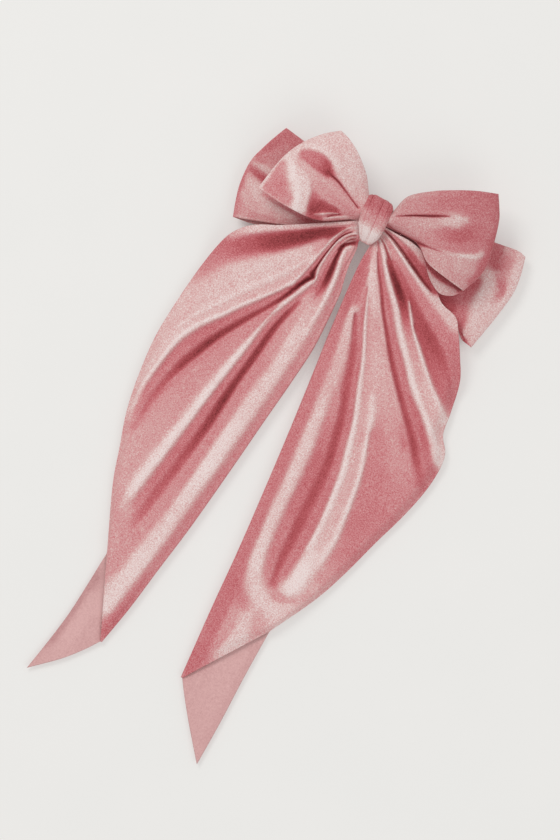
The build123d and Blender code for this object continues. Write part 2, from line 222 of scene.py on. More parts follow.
# -------------------- materials
def srgb(r, g, b):
    """A colour given as 0 to 255 screen values, in the linear values a node takes."""
    parts = [v / 255 for v in (r, g, b)]
    return [v / 12.92 if v <= 0.04045 else ((v + 0.055) / 1.055) ** 2.4 for v in parts] + [1.0]


class Nodes:
    """A material's node tree, with short calls to add and wire nodes."""

    def __init__(self, name):
        self.material = bpy.data.materials.new(name)
        self.material.use_nodes = True
        self.tree = self.material.node_tree
        self.shader = self.tree.nodes["Principled BSDF"]
        self.place = self.add("ShaderNodeTexCoord").outputs["Object"]

    def add(self, kind, **settings):
        node = self.tree.nodes.new(kind)
        for key, value in settings.items():
            setattr(node, key, value)
        return node

    def wire(self, source, target):
        self.tree.links.new(source, target)

    def put(self, value, socket):
        if isinstance(value, bpy.types.NodeSocket):
            self.wire(value, socket)
        else:
            socket.default_value = value

    def noise(self, size_mm, detail=2.0, roughness=0.5, place=None):
        """Noise of about this size, from 0 to 1."""
        node = self.add("ShaderNodeTexNoise")
        self.wire(place or self.place, node.inputs["Vector"])
        node.inputs["Scale"].default_value = 1 / (size_mm * MM)
        node.inputs["Detail"].default_value = detail
        node.inputs["Roughness"].default_value = roughness
        return node.outputs["Fac"]

    def stored(self, label):
        """A value stored on the mesh's points."""
        return self.add("ShaderNodeAttribute", attribute_name=label).outputs["Fac"]

    def math(self, operation, a, b, clamp=False):
        node = self.add("ShaderNodeMath", operation=operation, use_clamp=clamp)
        self.put(a, node.inputs[0])
        self.put(b, node.inputs[1])
        return node.outputs[0]

    def swing(self, value, amount):
        """A 0 to 1 value made into plus or minus amount / 2."""
        return self.math("MULTIPLY", self.math("SUBTRACT", value, 0.5), amount)

    def mean(self, a, b):
        return self.math("MULTIPLY", self.math("ADD", a, b), 0.5)

    def ramp(self, value, stops):
        """A colour read from stops of (place, screen colour)."""
        node = self.add("ShaderNodeValToRGB")
        self.put(value, node.inputs["Fac"])
        elements = node.color_ramp.elements
        while len(elements) < len(stops):
            elements.new(0.5)
        for element, (at, colour) in zip(elements, stops):
            element.position = at
            element.color = srgb(*colour)
        return node.outputs["Color"]

    def stretch(self, scale):
        """The object's own coordinates, drawn out where the scale is below 1."""
        node = self.add("ShaderNodeMapping")
        self.wire(self.place, node.inputs["Vector"])
        node.inputs["Scale"].default_value = scale
        return node.outputs["Vector"]

    def bump(self, height, strength, distance_mm):
        node = self.add("ShaderNodeBump")
        self.wire(height, node.inputs["Height"])
        node.inputs["Strength"].default_value = strength
        node.inputs["Distance"].default_value = distance_mm * MM
        self.wire(node.outputs["Normal"], self.shader.inputs["Normal"])

    def set(self, **values):
        for key, value in values.items():
            self.put(value, self.shader.inputs[key.replace("_", " ")])
        return self.material


# Tone to colour, painted light and shade: the painted deep shade of a valley, through the rose of a slope,
# to a painted highlight on a crest.
PAINTED_LIGHT_COLOURS = [
    (-1.3, (112, 45, 48)),
    (-0.9, (150, 66, 70)),
    (-0.5, (181, 86, 92)),
    (-0.2, (195, 106, 112)),
    (0.0, (205, 125, 130)),
    (0.3, (214, 151, 153)),
    (0.55, (220, 175, 173)),
    (0.78, (229, 199, 196)),
    (1.05, (242, 226, 224)),
]
TONE_LOW = PAINTED_LIGHT_COLOURS[0][0]
TONE_SPAN = PAINTED_LIGHT_COLOURS[-1][0] - TONE_LOW
PAINTED_SHADE_DEPTH = 0.12  # painted shade: how much darker a piece with the fullest painted shade is


def velvet_material():
    """The pile: its tone of painted light and shade, clouded and brushed, with a fine grain and a soft
    sheen.
    """
    m = Nodes("velvet_pile")
    cloud = m.swing(m.noise(size_mm=11.0, detail=3.0), amount=0.25)
    brushed = m.swing(m.noise(size_mm=3.0, detail=3.0, roughness=0.6), amount=0.25)
    grain = m.swing(m.noise(size_mm=0.7, detail=2.0, roughness=0.9), amount=2.3)
    tone = m.stored("tone")
    for variation in (cloud, brushed, grain):
        tone = m.math("ADD", tone, variation)
    share = m.math("DIVIDE", m.math("SUBTRACT", tone, TONE_LOW), TONE_SPAN, clamp=True)
    tint = m.add("ShaderNodeHueSaturation")
    stops = [((at - TONE_LOW) / TONE_SPAN, colour) for at, colour in PAINTED_LIGHT_COLOURS]
    m.wire(m.ramp(share, stops), tint.inputs["Color"])
    # painted shade: each piece darkened evenly by its stored painted shade
    shade = m.math("MULTIPLY", m.stored("painted_shade"), PAINTED_SHADE_DEPTH)
    m.wire(m.math("SUBTRACT", 1.0, shade), tint.inputs["Value"])
    m.bump(m.noise(size_mm=0.35), strength=0.35, distance_mm=0.25)
    return m.set(
        Base_Color=tint.outputs["Color"],
        Roughness=0.95,
        Specular_IOR_Level=0.1,
        Sheen_Weight=0.25,
        Sheen_Roughness=0.45,
        Sheen_Tint=srgb(250, 215, 212),
    )


def reverse_material():
    """The woven back of the velvet: fine square weave, matte, its colour also following the painted
    light-and-shade tone.
    """
    m = Nodes("velvet_reverse")
    warp = m.noise(size_mm=0.5, detail=0.0, place=m.stretch((1, 0.35, 1)))
    weft = m.noise(size_mm=0.5, detail=0.0, place=m.stretch((0.35, 1, 1)))
    weave = m.mean(warp, weft)
    colour = m.ramp(m.mean(weave, m.stored("tone")), [(0.1, (188, 136, 137)), (0.6, (224, 180, 178))])
    m.bump(weave, strength=0.4, distance_mm=0.15)
    return m.set(Base_Color=colour, Roughness=0.9, Specular_IOR_Level=0.15, Sheen_Weight=0.1)


def thread_material():
    m = Nodes("rose_thread")
    colour = m.ramp(m.noise(size_mm=0.3), [(0.3, (150, 64, 70)), (0.7, (200, 112, 116))])
    m.bump(m.noise(size_mm=0.12, detail=1.0), strength=0.5, distance_mm=0.05)
    return m.set(Base_Color=colour, Roughness=0.7, Sheen_Weight=0.3)


def steel_material(name, light, dark, roughness, grain):
    """Bright steel with a fine rolled grain and faint handling marks."""
    m = Nodes(name)
    rolled = m.noise(size_mm=0.5, place=m.stretch(grain))
    marks = m.noise(size_mm=2.5, detail=4.0, roughness=0.7)
    colour = m.ramp(m.mean(rolled, marks), [(0.3, dark), (0.7, light)])
    rough = m.math("ADD", m.swing(marks, amount=0.16), roughness)
    m.bump(rolled, strength=0.08, distance_mm=0.05)
    return m.set(Base_Color=colour, Metallic=1.0, Roughness=rough)


VELVET = velvet_material()
REVERSE = reverse_material()
THREAD = thread_material()
CLIP_STEEL = steel_material("clip_steel", (226, 226, 224), (190, 190, 190), 0.2, (0.1, 1, 1))
SPRING_STEEL = steel_material("spring_steel", (200, 202, 205), (160, 163, 168), 0.32, (0.06, 1, 1))


# -------------------- velvet tails
# Each outline lists the edges of one tail laid flat. The strip is folded lengthwise: its front layer
# runs from the outer edge to the inner one, turns over there and comes back behind.
# Fold lines of painted light and shade: a high tone paints a highlight on crests and rims, a low tone paints
# shade in valleys and on slopes turned from the light.
LEFT_TAIL_FOLDS = [
    # the rim with its painted highlight, the painted shade on the red slope under it, and the broad pale
    # cloth below
    (0.9, (-7, -5.5, 0.6), (-14, -9.6, 0.62), (-21, -14.2, 0.62), (-32, -20.6, 0.68), (-45, -28, 0.72),
     (-57, -35, 0.8), (-66, -43, 0.55)),
    (0.4, (-9, -8.2, 0.3), (-15, -12.4, 0.2), (-22, -16.6, 0.1)),
    (1.2, (-13.5, -13, -0.3), (-18.5, -17, -0.9), (-26, -23, -1.08), (-35, -30, -1.02), (-44, -37, -0.82),
     (-53, -43, -0.5), (-62, -49, -0.2), (-69, -57, 0), (-72, -66, 0.15)),
    (1.3, (-20, -26, 0.35), (-24, -32, 0.6), (-33, -42, 0.72), (-44, -54, 0.74), (-55, -66, 0.72),
     (-64, -80, 0.68), (-70, -95, 0.66), (-74, -112, 0.62), (-76, -135, 0.6)),
    (0.5, (-21.5, -35, 0.75), (-28, -46, 0.84), (-38, -59, 0.86), (-50, -74, 0.86), (-61, -90, 0.84),
     (-69, -106, 0.78)),
    (0.8, (-22.3, -42, 0.6), (-27, -52, 0.6), (-36, -63.5, 0.6), (-46, -76, 0.62), (-56, -88, 0.66),
     (-65, -101, 0.72), (-71, -115, 0.74), (-74, -132, 0.7), (-73, -152, 0.5)),
    # the outer fold: painted highlight on its crest, painted shade on its red flank and in its dark core
    (0.5, (-25, -53.5, 0.9), (-30, -60.5, 0.92), (-37, -69, 0.93), (-45, -78.5, 0.93), (-53, -88.5, 0.95),
     (-60, -98.5, 0.97), (-65.5, -109, 1), (-68.5, -121, 1), (-71, -135, 0.95), (-72, -150, 0.8),
     (-70, -166, 0.45)),
    (0.6, (-24.5, -57.5, 0), (-31, -66, 0), (-38, -75.5, 0), (-46, -86, -0.05), (-53, -96, -0.1),
     (-59.5, -107, -0.05), (-64, -118, 0), (-66.5, -130, 0), (-68, -143, 0.05), (-67.5, -158, 0.15)),
    (0.45, (-22.5, -57, -1), (-25.2, -63.5, -0.9), (-29.6, -71, -0.7), (-35.8, -80.5, -0.8),
     (-41.2, -89, -0.85), (-46, -97, -0.95), (-50.6, -106, -1), (-55, -116, -0.85), (-58.4, -126, -0.6),
     (-61.6, -137, -0.35), (-64, -150, -0.15), (-65, -166, 0.15)),
    (0.5, (-25.4, -68.5, 0.1), (-29.6, -76.5, 0.15), (-35, -86, 0.15), (-40.2, -95, 0.12), (-45, -104, 0.1),
     (-49.4, -113, 0.1), (-53.6, -123, 0.12), (-58, -135, 0.15)),
    (1.3, (-27, -74, 0.2), (-34, -90, 0.22), (-41, -105, 0.25), (-46, -122, 0.3), (-50, -140, 0.32),
     (-54, -160, 0.38), (-58, -180, 0.42), (-58, -200, 0.4), (-50, -220, 0.38)),
    # the inner fold
    (0.6, (-14.6, -46.6, 0.8), (-16.8, -51.5, 0.85), (-20.4, -58.8, 0.88), (-24.4, -68, 0.88),
     (-27.4, -78, 0.87), (-29.8, -90, 0.92), (-32, -100, 0.97), (-34.2, -111, 1), (-36.3, -123, 1),
     (-39, -138, 1), (-41.5, -152, 1), (-44.5, -168, 1), (-47, -182, 1), (-49, -195, 0.95),
     (-50, -208, 0.6)),
    (0.5, (-13, -49, 0.1), (-17, -58, 0.05), (-21.4, -69, 0.05), (-24.4, -80, 0), (-26.8, -92, 0),
     (-28.8, -105, 0), (-31.2, -118, 0), (-34, -135, 0), (-36.3, -152, 0), (-38.5, -170, -0.05),
     (-41, -187, 0), (-43, -203, 0.2)),
    (0.5, (-16.4, -61, -0.3), (-19, -70, -0.7), (-21.2, -80, -0.85), (-22.9, -92, -0.9), (-24.4, -105, -0.9),
     (-26, -118, -0.95), (-27.5, -130, -0.95), (-28.5, -142, -0.85), (-30, -155, -0.65),
     (-32.5, -170, -0.45), (-35, -185, -0.35), (-37, -200, -0.2), (-38.5, -213, 0.05)),
    (0.5, (-16.6, -74, 0.3), (-18.5, -84, 0.2), (-19.9, -95, 0.15), (-21.3, -107, 0.12), (-22.6, -119, 0.1)),
    (0.9, (-12.6, -56, 0.4), (-14.5, -70, 0.4), (-16.2, -85, 0.3), (-17.5, -100, 0.2), (-20.5, -115, 0.2),
     (-21.5, -130, 0.2), (-23, -150, 0.2), (-25.5, -170, 0.2), (-28, -190, 0.25), (-31.5, -208, 0.3),
     (-36, -225, 0.3), (-37.5, -240, 0.3)),
    # the soft crest in painted highlight and the folded inner border
    (1.1, (-9, -62, 0.6), (-9, -75, 0.75), (-9.5, -90, 0.8), (-10.5, -105, 0.8), (-12.5, -120, 0.8),
     (-15, -137, 0.88), (-17, -152, 0.96), (-18.5, -167, 0.98), (-20.5, -182, 0.92), (-22.5, -197, 0.8),
     (-24.5, -212, 0.85), (-27, -230, 0.88), (-30, -248, 0.88), (-31.5, -262, 0.85)),
    (0.8, (0, -30, 0.3), (0.8, -50, 0.25), (1.2, -78, 0.25), (-1.2, -104, 0.22), (-4.2, -130, 0.2),
     (-7.8, -160, 0.12), (-12.8, -200, 0.1), (-17.6, -230, 0.1), (-22, -256, 0), (-25, -274, -0.1)),
    # pleats where the cloth is gathered into the knot, each in painted highlight and shade: the outer rope,
    # its pocket, the inner rope, the roll
    (0.35, (-7, -9, 0.75), (-10.5, -10.8, 0.85), (-13.5, -15.5, 0.88), (-15.8, -20.5, 0.88),
     (-17.3, -26, 0.88), (-19, -33, 0.86), (-20.8, -41, 0.86), (-22.6, -48, 0.86), (-24.2, -52.5, 0.9)),
    (0.3, (-9, -11.4, 0.3), (-12.3, -16, 0.1), (-14.4, -21, 0.1), (-16, -27, 0.1), (-17.6, -34, 0.05),
     (-19.2, -42, 0.05), (-21, -50, 0)),
    (0.22, (-8, -12.3, -0.4), (-11, -15.6, -0.7), (-13, -19.8, -0.9), (-14.3, -25, -0.95),
     (-15.3, -31, -1), (-16, -37, -1.1), (-16.4, -41.5, -1.3)),
    (0.5, (-16.3, -43, -1.3), (-15.6, -45.3, -1.3), (-17.4, -47.6, -1.3), (-19.4, -51, -1.2),
     (-21.5, -55.5, -1), (-23.5, -60, -0.9)),
    (0.32, (-5.5, -11.6, 0.8), (-8.4, -13.6, 0.88), (-11, -17.2, 0.9), (-12.9, -21.5, 0.92),
     (-14.1, -27, 0.92), (-14.8, -33, 0.9), (-15, -38, 0.88), (-14.4, -42, 0.88), (-13.7, -45.4, 0.95),
     (-16, -48.6, 0.92), (-18.4, -53, 0.9)),
    (0.16, (-5, -12.8, -0.2), (-7.6, -14.6, -0.1), (-9.6, -17.6, 0.2)),
    (0.16, (-4.8, -13.7, 0.75), (-7.2, -15.4, 0.8), (-9.4, -19, 0.7), (-11, -23, 0.4)),
    (0.16, (-4.6, -14.7, -0.3), (-7, -16.5, -0.2), (-9, -19.6, 0.1)),
    (0.16, (-4.3, -15.6, 0.7), (-6.4, -17.2, 0.75), (-8.4, -19.2, 0.5)),
    (0.35, (-11.3, -23, 0.3), (-12.4, -30, 0.25), (-12.7, -38, 0.2), (-12.2, -46, 0.1), (-13.4, -52, 0)),
    (0.3, (-10.2, -26, 0.05), (-10.6, -34, 0), (-10.4, -42, -0.2), (-11, -50, -0.2)),
    (0.4, (-4.2, -16.9, -0.8), (-6.6, -19, -0.7), (-8.7, -21.4, -1.1), (-9.1, -25.5, -1.25),
     (-8.9, -30, -1.3), (-8.2, -35, -1.3), (-7.9, -40, -1.2), (-8, -45, -0.8), (-8.4, -50, -0.3),
     (-9, -55, 0.1)),
    (0.4, (-5, -19.8, 0.75), (-6.7, -22.5, 0.88), (-6.6, -27, 0.9), (-5.9, -31, 0.9), (-4.9, -36, 0.92),
     (-4.2, -41, 0.95), (-3.9, -48, 0.92), (-4, -60, 0.9), (-4.6, -75, 0.8)),
    (0.35, (-3.2, -19, 0.4), (-3.4, -25, 0.35), (-2.6, -31, 0.2), (-1.6, -38, 0.1), (-0.9, -46, 0.15)),
    (0.5, (-8, -54, 0.3), (-8.4, -60, 0.5)),
    # the turned-over tip, which shows the reverse of the cloth
    (0.8, (-46, -250, -0.5), (-47.5, -270, -0.5), (-50.5, -292, -0.5)),
    (0.9, (-40, -262, 0.5), (-41, -280, 0.6), (-44, -298, 0.4)),
    (0.8, (-31, -275, 0.3), (-33, -288, 0.2)),
]
LEFT_TAIL = {
    "outer": [(-5, -1), (-9, -5.5), (-25, -15.5), (-45, -27.5), (-56, -33), (-64, -39.5), (-69.5, -49),
        (-73.5, -66), (-76.5, -90), (-78, -115), (-76, -140), (-72.5, -160), (-67, -178), (-60, -200)],
    "short": (-45, -235),
    "inner": [(-1, -9), (-3.2, -14.5), (-2.2, -20), (-1.6, -30), (0.1, -40), (1.5, -48), (2.6, -78),
        (0.3, -104), (-2.8, -130), (-6.2, -160), (-11.2, -200), (-16, -230), (-20, -256)],
    "fold_end": (-25, -280.5),
    "tip": (-54.5, -313),
    "tip_edge": [(-31, -289), (-40, -299.5)],
    "long_edge": [(-46.5, -258), (-48, -276), (-51, -295)],
    "folds": LEFT_TAIL_FOLDS,
}

# Fold lines of painted light and shade, as for the left tail.
RIGHT_TAIL_FOLDS = [
    # a half-hidden pleat behind the rim with its painted highlight, and the painted shade on the red slope
    # under the rim
    (0.5, (6, -1.4, 0.65), (14, -1.7, 0.75), (22, -2.3, 0.75), (28, -3.6, 0.7), (33, -7.2, 0.4)),
    (0.4, (8, -2.5, 0.1), (15, -3.7, 0.1), (21, -5.4, 0), (27, -7.8, -0.3), (34, -11.4, -0.4),
     (41, -15.4, -0.5), (48, -20, -0.5)),
    (0.3, (7.5, -3, -0.6), (13, -4.7, -1), (18, -7, -1.2), (23, -9.5, -1.3), (28, -12, -1.3),
     (34, -15, -1.3), (40, -17.9, -1.2), (46, -20.2, -1)),
    (0.5, (7, -4.2, 0.7), (14, -6.9, 0.87), (20, -9.8, 0.9), (26, -13, 0.9), (32, -16.2, 0.88),
     (40, -20, 0.78), (50, -24, 0.78), (60, -27.5, 0.76), (66.5, -31, 0.62)),
    (0.6, (9, -6.2, 0.35), (15, -9.4, 0.3), (21, -13.2, 0.25), (28, -17.8, 0.15), (36, -23, 0.1),
     (49, -31, 0.12), (61, -38, 0.08), (70, -45, 0.03), (79, -56, 0), (85, -66, 0)),
    (0.2, (6.5, -7, 0.75), (10.5, -8.8, 0.8), (15, -12.2, 0.75), (19, -16, 0.4)),
    (0.2, (7, -8.2, 0.1), (11, -10.6, -0.2), (15.4, -14.4, -0.5), (18.5, -17.4, -0.7)),
    (0.6, (21.5, -17.4, -0.1), (27, -22, -0.3), (34, -27.4, -0.4), (42, -33.6, -0.5), (50, -39.4, -0.6),
     (57.5, -44.2, -0.65), (64, -48.4, -0.55), (72, -54, -0.35), (80, -62, -0.2), (85, -70, 0)),
    (0.5, (48, -41.4, -0.5), (56, -48.6, -0.45), (64, -56, -0.3), (73, -64, -0.2), (81, -70, -0.1)),
    # the deep valley in painted shade that opens into a pale facet
    (0.6, (18.5, -17.8, -0.6), (22, -21.3, -1), (26, -25, -1.25), (31, -30, -1.3), (35.5, -34, -0.9),
     (41, -40, -0.3), (47, -47.5, 0.15), (53, -54.5, 0.35), (61, -64, 0.5), (71, -74, 0.58), (81, -84, 0.6),
     (90, -92, 0.62)),
    (0.35, (38, -31.6, 0.75), (42.5, -37.6, 0.9), (47.5, -44.2, 0.92), (53.5, -50.6, 0.92), (60, -57, 0.9),
     (70, -66.4, 0.88), (79, -74, 0.85), (86, -80.5, 0.8)),
    # the outer fold: painted highlight on its crest, painted shade on its red flank and in its dark core
    (0.5, (6.5, -9, 0.7), (10, -12, 0.82), (14, -16.4, 0.87), (20, -23.4, 0.9), (27, -31.4, 0.9),
     (34, -39, 0.9), (42, -49.5, 0.92), (51, -60, 0.95), (61, -70, 0.95), (71, -79, 0.95), (80, -87, 0.95),
     (88, -94, 0.92), (94, -102, 0.85)),
    (0.4, (6.6, -10.6, 0.2), (11, -16.4, 0.05), (16.8, -24, 0), (23, -32, 0), (32, -43, 0),
     (41, -54, 0), (51, -65, 0), (61, -76, -0.05), (71, -85, -0.1), (80, -94, -0.2), (88, -103, -0.1),
     (95, -111, 0)),
    (0.3, (9.8, -16.2, -0.2), (15, -23.8, -0.4), (20.5, -31, -0.5), (27.6, -43, -0.6), (36, -54, -0.6),
     (45, -65.6, -0.6), (55, -76.6, -0.6), (64, -86, -0.55), (73, -96, -0.6), (80, -104, -0.6),
     (87, -112, -0.3), (94, -120, -0.1)),
    (1, (6.4, -13, 0.55), (9, -18.5, 0.68), (13, -27, 0.74), (18, -36, 0.74), (25, -46, 0.62),
     (30, -54, 0.42), (36, -65, 0.55), (43, -76, 0.55), (50, -85, 0.5), (56, -93, 0.4), (64, -102, 0.35),
     (73, -111, 0.35), (80, -122, 0.2), (86, -133, 0.1)),
    (1.6, (58, -107, 0.15), (64, -122, 0.1), (68, -140, 0.05), (72, -158, 0.05), (74, -175, 0.1),
     (72, -190, 0.3)),
    (0.4, (18, -32, 0.6), (25, -43.6, 0.6), (33, -54, 0.52), (42, -66, 0.5), (51.5, -77, 0.48),
     (60, -86.4, 0.45), (67, -95.5, 0.25), (74, -105, 0)),
    # the ridge: a mauve trough in painted shade between two edges in painted highlight
    (0.5, (12, -28, 0.8), (17, -41, 0.85), (22, -53, 0.9), (28, -66, 0.93), (33, -78, 0.93), (38, -92, 0.95),
     (43, -106, 0.97), (46.5, -118, 1), (49.5, -130, 1), (51.5, -145, 0.98), (53, -162, 0.95),
     (53.5, -180, 0.92)),
    (0.45, (18, -41, 0.42), (24, -53, 0.38), (30, -65, 0.38), (36, -78, 0.42), (41.5, -90, 0.46),
     (46.5, -103, 0.5), (50.5, -116, 0.52), (53.5, -128, 0.54), (56, -142, 0.56), (58, -158, 0.6),
     (58.5, -172, 0.64)),
    (0.5, (45, -88, 0.75), (50, -100, 0.85), (54, -112, 0.9), (57.5, -124, 0.92), (60.5, -138, 0.95),
     (62.5, -155, 0.95), (63.5, -170, 0.9), (62, -186, 0.85)),
    (1, (57, -186, 0.95), (57, -195, 1.05), (55.5, -205, 1)),
    (0.8, (66, -197, 0.5), (65, -206, 0.45), (58, -211.5, 0.38), (50, -212, 0.35)),
    # the inner fold
    (0.6, (14, -36, 0.2), (19, -50, 0.05), (24, -62, 0.05), (29, -74, 0.05), (34, -88, 0), (39, -103, 0),
     (43, -118, 0.05), (46.5, -135, 0.05), (49, -150, 0), (50, -168, 0), (49.5, -185, 0),
     (48, -200, 0.1)),
    (0.55, (15, -52, -0.2), (20, -62, -0.3), (25, -74, -0.35), (29, -86, -0.4), (32.5, -97, -0.45),
     (36, -110, -0.5), (39, -122, -0.55), (41, -135, -0.58), (42, -150, -0.56), (42, -165, -0.5),
     (42.5, -180, -0.5), (43, -195, -0.4), (45, -206, -0.2)),
    (0.8, (28, -100, 0.25), (31, -115, 0.1), (34, -130, -0.1), (35, -150, -0.1), (35.5, -170, 0),
     (36.5, -188, 0.1), (40, -203, 0.2)),
    (1, (12.6, -50, 0.75), (16, -66, 0.65), (19, -80, 0.6), (21, -95, 0.6), (22.5, -110, 0.72),
     (24, -125, 0.8), (25.5, -140, 0.78), (26.5, -155, 0.8), (27.5, -170, 0.78), (28.5, -183, 0.8),
     (30.5, -197, 0.85), (35, -210, 0.8), (44, -217, 0.82), (54, -218, 0.8), (63, -208, 0.6)),
    # the folded inner border and the hem
    (0.9, (4.7, -15, 0.3), (5.8, -21, -0.05), (6.6, -30, -0.15), (8, -42, -0.12), (9.5, -60, 0),
     (12, -80, 0.05), (14, -98, 0.05), (16, -115, 0), (18, -135, 0), (19.5, -155, 0),
     (21.5, -178, 0), (23.5, -198, 0), (26, -218, -0.05), (27, -238, -0.05), (27.5, -255, -0.05),
     (27, -270, -0.1)),
    (0.5, (9.5, -27, 0), (11, -38, 0), (12, -46, 0.05)),
    (0.7, (29, -221, 0.05), (35, -224, 0.15), (38, -226, 0.3)),
    (0.9, (40, -229, 0.72), (41, -240, 0.8), (38, -253, 0.75)),
    (0.8, (33, -230, 0.32), (34.5, -240, 0.35), (33.5, -252, 0.3)),
    (0.7, (47, -228, 0.45), (50, -233, 0.4)),
    # the turned-over tip, which shows the reverse of the cloth
    (1, (48, -252, 0.5), (46, -275, 0.4), (48, -298, 0.3)),
    (0.6, (53.5, -245, 0.2), (54, -270, 0.15), (54, -300, 0.15)),
    (0.8, (33, -272, 0.3), (34, -285, 0.3)),
]
RIGHT_TAIL = {
    "outer": [(4, -1), (13, -1.6), (24, -1.8), (33, -4.5), (41, -11), (48, -18), (55, -24), (65, -27),
        (70, -33), (78, -46), (84.5, -58), (88, -75), (90, -88), (96, -97), (97.5, -107), (96, -122),
        (91.5, -140), (85, -160), (78, -183), (70, -204)],
    "short": (56, -231),
    "inner": [(3, -9), (4.9, -14), (4.6, -24), (5.4, -40), (8, -70), (11, -98), (14, -128), (17, -162),
        (20, -200), (22, -235)],
    "fold_end": (25, -277),
    "tip": (55, -316),
    "tip_edge": [(32, -287), (42, -300)],
    "long_edge": [(55.5, -260), (55.6, -290)],
    "folds": RIGHT_TAIL_FOLDS,
}

FRONT_HEIGHTS = [  # (Y, height) of the front layer before its folds, from the tip up to the knot
    (-330, 4.6), (-240, 6.6), (-130, 8.2), (-75, 9.6), (-58, 11.5), (-42, 15.6), (-28, 17), (-12, 17.6),
    (10, 17),
]
BACK_HEIGHTS = [  # the same for the back layer, which lies on the table beyond the rear bow
    (-330, 0.9), (-66, 1.3), (-44, 11.0), (-34, 13.6), (-14, 14.2),
]
HEIGHT_BLUR = 6  # how far along a tail its front heights are blurred
TAIL_RELIEF = 2.2  # height from a valley of tone 0 to a crest of tone 1
LEVEL_TONE = 0.1  # tone that lies at the unfolded height
ROOT_RELIEF = 0.25  # share of the folds' height that is left inside the knot
BACK_RELIEF = 0.7  # as TAIL_RELIEF, for the back layer
LAYER_GAP = 1.3  # least distance between the two layers
FOLD_DROP = 1.8  # how far the front layer sinks at the fold
FOLD_BULGE = 0.9  # how far the turned-over edge stands out
EDGE_TUCK = 0.9  # how much of the gap closes at the outer edge
HEM_TUCK = 0.55  # tone of the reverse where the front's painted light-and-shade tone is 0; the reverse carries that painted light and shade too, scaled by REVERSE_CONTRAST
REVERSE_TONE = 0.25  # tone of the reverse where the nap's is 0
REVERSE_CONTRAST = 0.6
TAIL_ROWS = 350
CROWDING = 1.3  # how much closer the rows lie near the knot
FRONT_COLS = 140
FOLD_COLS = 7
BACK_COLS = 46


def back_height(y, tone, settle):
    """Height of the back layer, with its folds."""
    return np.interp(y, *zip(*BACK_HEIGHTS)) + BACK_RELIEF * (tone + 1) * settle


def tail_edge(points):
    return resample(curve(points, 400), TAIL_ROWS, CROWDING)


def between(start, end, count):
    """A plan sheet of straight rows from one edge to another."""
    share = np.linspace(0, 1, count)[None, :, None]
    return start[:, None] * (1 - share) + end[:, None] * share


def front_heights(front, outer, tone, down, settle):
    """Heights of the layer that faces out, never below the layer behind it."""
    to_fold = 1 - np.linspace(0, 1, FRONT_COLS)[None, :]
    drop = FOLD_DROP * bell(to_fold / 0.05) * settle
    lift = TAIL_RELIEF * (tone - LEVEL_TONE) * (ROOT_RELIEF + (1 - ROOT_RELIEF) * settle)
    z = blurred(FRONT_HEIGHTS, front[..., 1], HEIGHT_BLUR) + lift - drop
    under = back_height(front[..., 1], tone, settle) + LAYER_GAP
    from_edge = np.linalg.norm(front - outer[:, None], axis=-1)
    tuck = np.maximum(EDGE_TUCK * bell(from_edge / 5), HEM_TUCK * rise(down, 0.94, 1))
    tuck = tuck * rise(down, 0.05, 0.15)
    return under + np.maximum(z - under, 0) * (1 - tuck)


def back_layer(tail, inner, outer, down):
    """Plan of the layer that lies against the head, with the turned-over tip."""
    long_side = curve([tail["short"], *tail["long_edge"], tail["tip"]], 120)
    back_outer = resample(np.vstack([outer, long_side[1:]]), TAIL_ROWS, CROWDING)
    back = between(inner, back_outer, BACK_COLS)
    end_edge = curve([tail["fold_end"], *tail["tip_edge"], tail["tip"]], BACK_COLS)
    return back + (end_edge - back[-1])[None] * rise(down[..., None], 0.8, 1)


def folded_edge(inner, top, bottom, side):
    """Plan and heights of the half turn that joins the two layers round the inner edge."""
    turn = np.linspace(0, math.pi, FOLD_COLS + 2)[None, 1:-1]
    plan = np.repeat(inner[:, None], FOLD_COLS, axis=1)
    plan[..., 0] -= side * FOLD_BULGE * np.sin(turn)
    return plan, (top + bottom) / 2 + (top - bottom) / 2 * np.cos(turn)


def make_tail(name, tail):
    side = np.sign(tail["tip"][0])
    outer = tail_edge([*tail["outer"], tail["short"]])
    inner = tail_edge([*tail["inner"], tail["fold_end"]])
    down = np.linspace(0, 1, TAIL_ROWS)[:, None] ** CROWDING
    settle = rise(down, 0, 0.04)
    front = between(outer, inner, FRONT_COLS)
    back = back_layer(tail, inner, outer, down)
    tone = painted_light_tone(front, tail["folds"])
    back_tone = painted_light_tone(back, tail["folds"])
    front_z = front_heights(front, outer, tone, down, settle)
    back_z = back_height(back[..., 1], back_tone, settle)
    fold, fold_z = folded_edge(inner, front_z[:, -1:], back_z[:, :1], side)
    fold_tone = np.repeat(tone[:, -1:], FOLD_COLS, axis=1)
    plan = np.concatenate([front, fold, back], axis=1)
    z = np.concatenate([front_z, fold_z, back_z], axis=1)
    tones = np.concatenate([tone, fold_tone, REVERSE_TONE + REVERSE_CONTRAST * back_tone], axis=1)
    points = np.concatenate([plan, z[..., None]], axis=-1)
    if side < 0:
        points = points[:, ::-1]
        tones = tones[:, ::-1]
    obj = sheet_mesh(name, points, tones)
    thicken(obj, VELVET, REVERSE)
    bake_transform(obj)
    return obj


left_tail = make_tail("left_tail_velvet", LEFT_TAIL)
right_tail = make_tail("right_tail_velvet", RIGHT_TAIL)
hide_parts("left_tail", "tail_root")
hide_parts("right_tail")
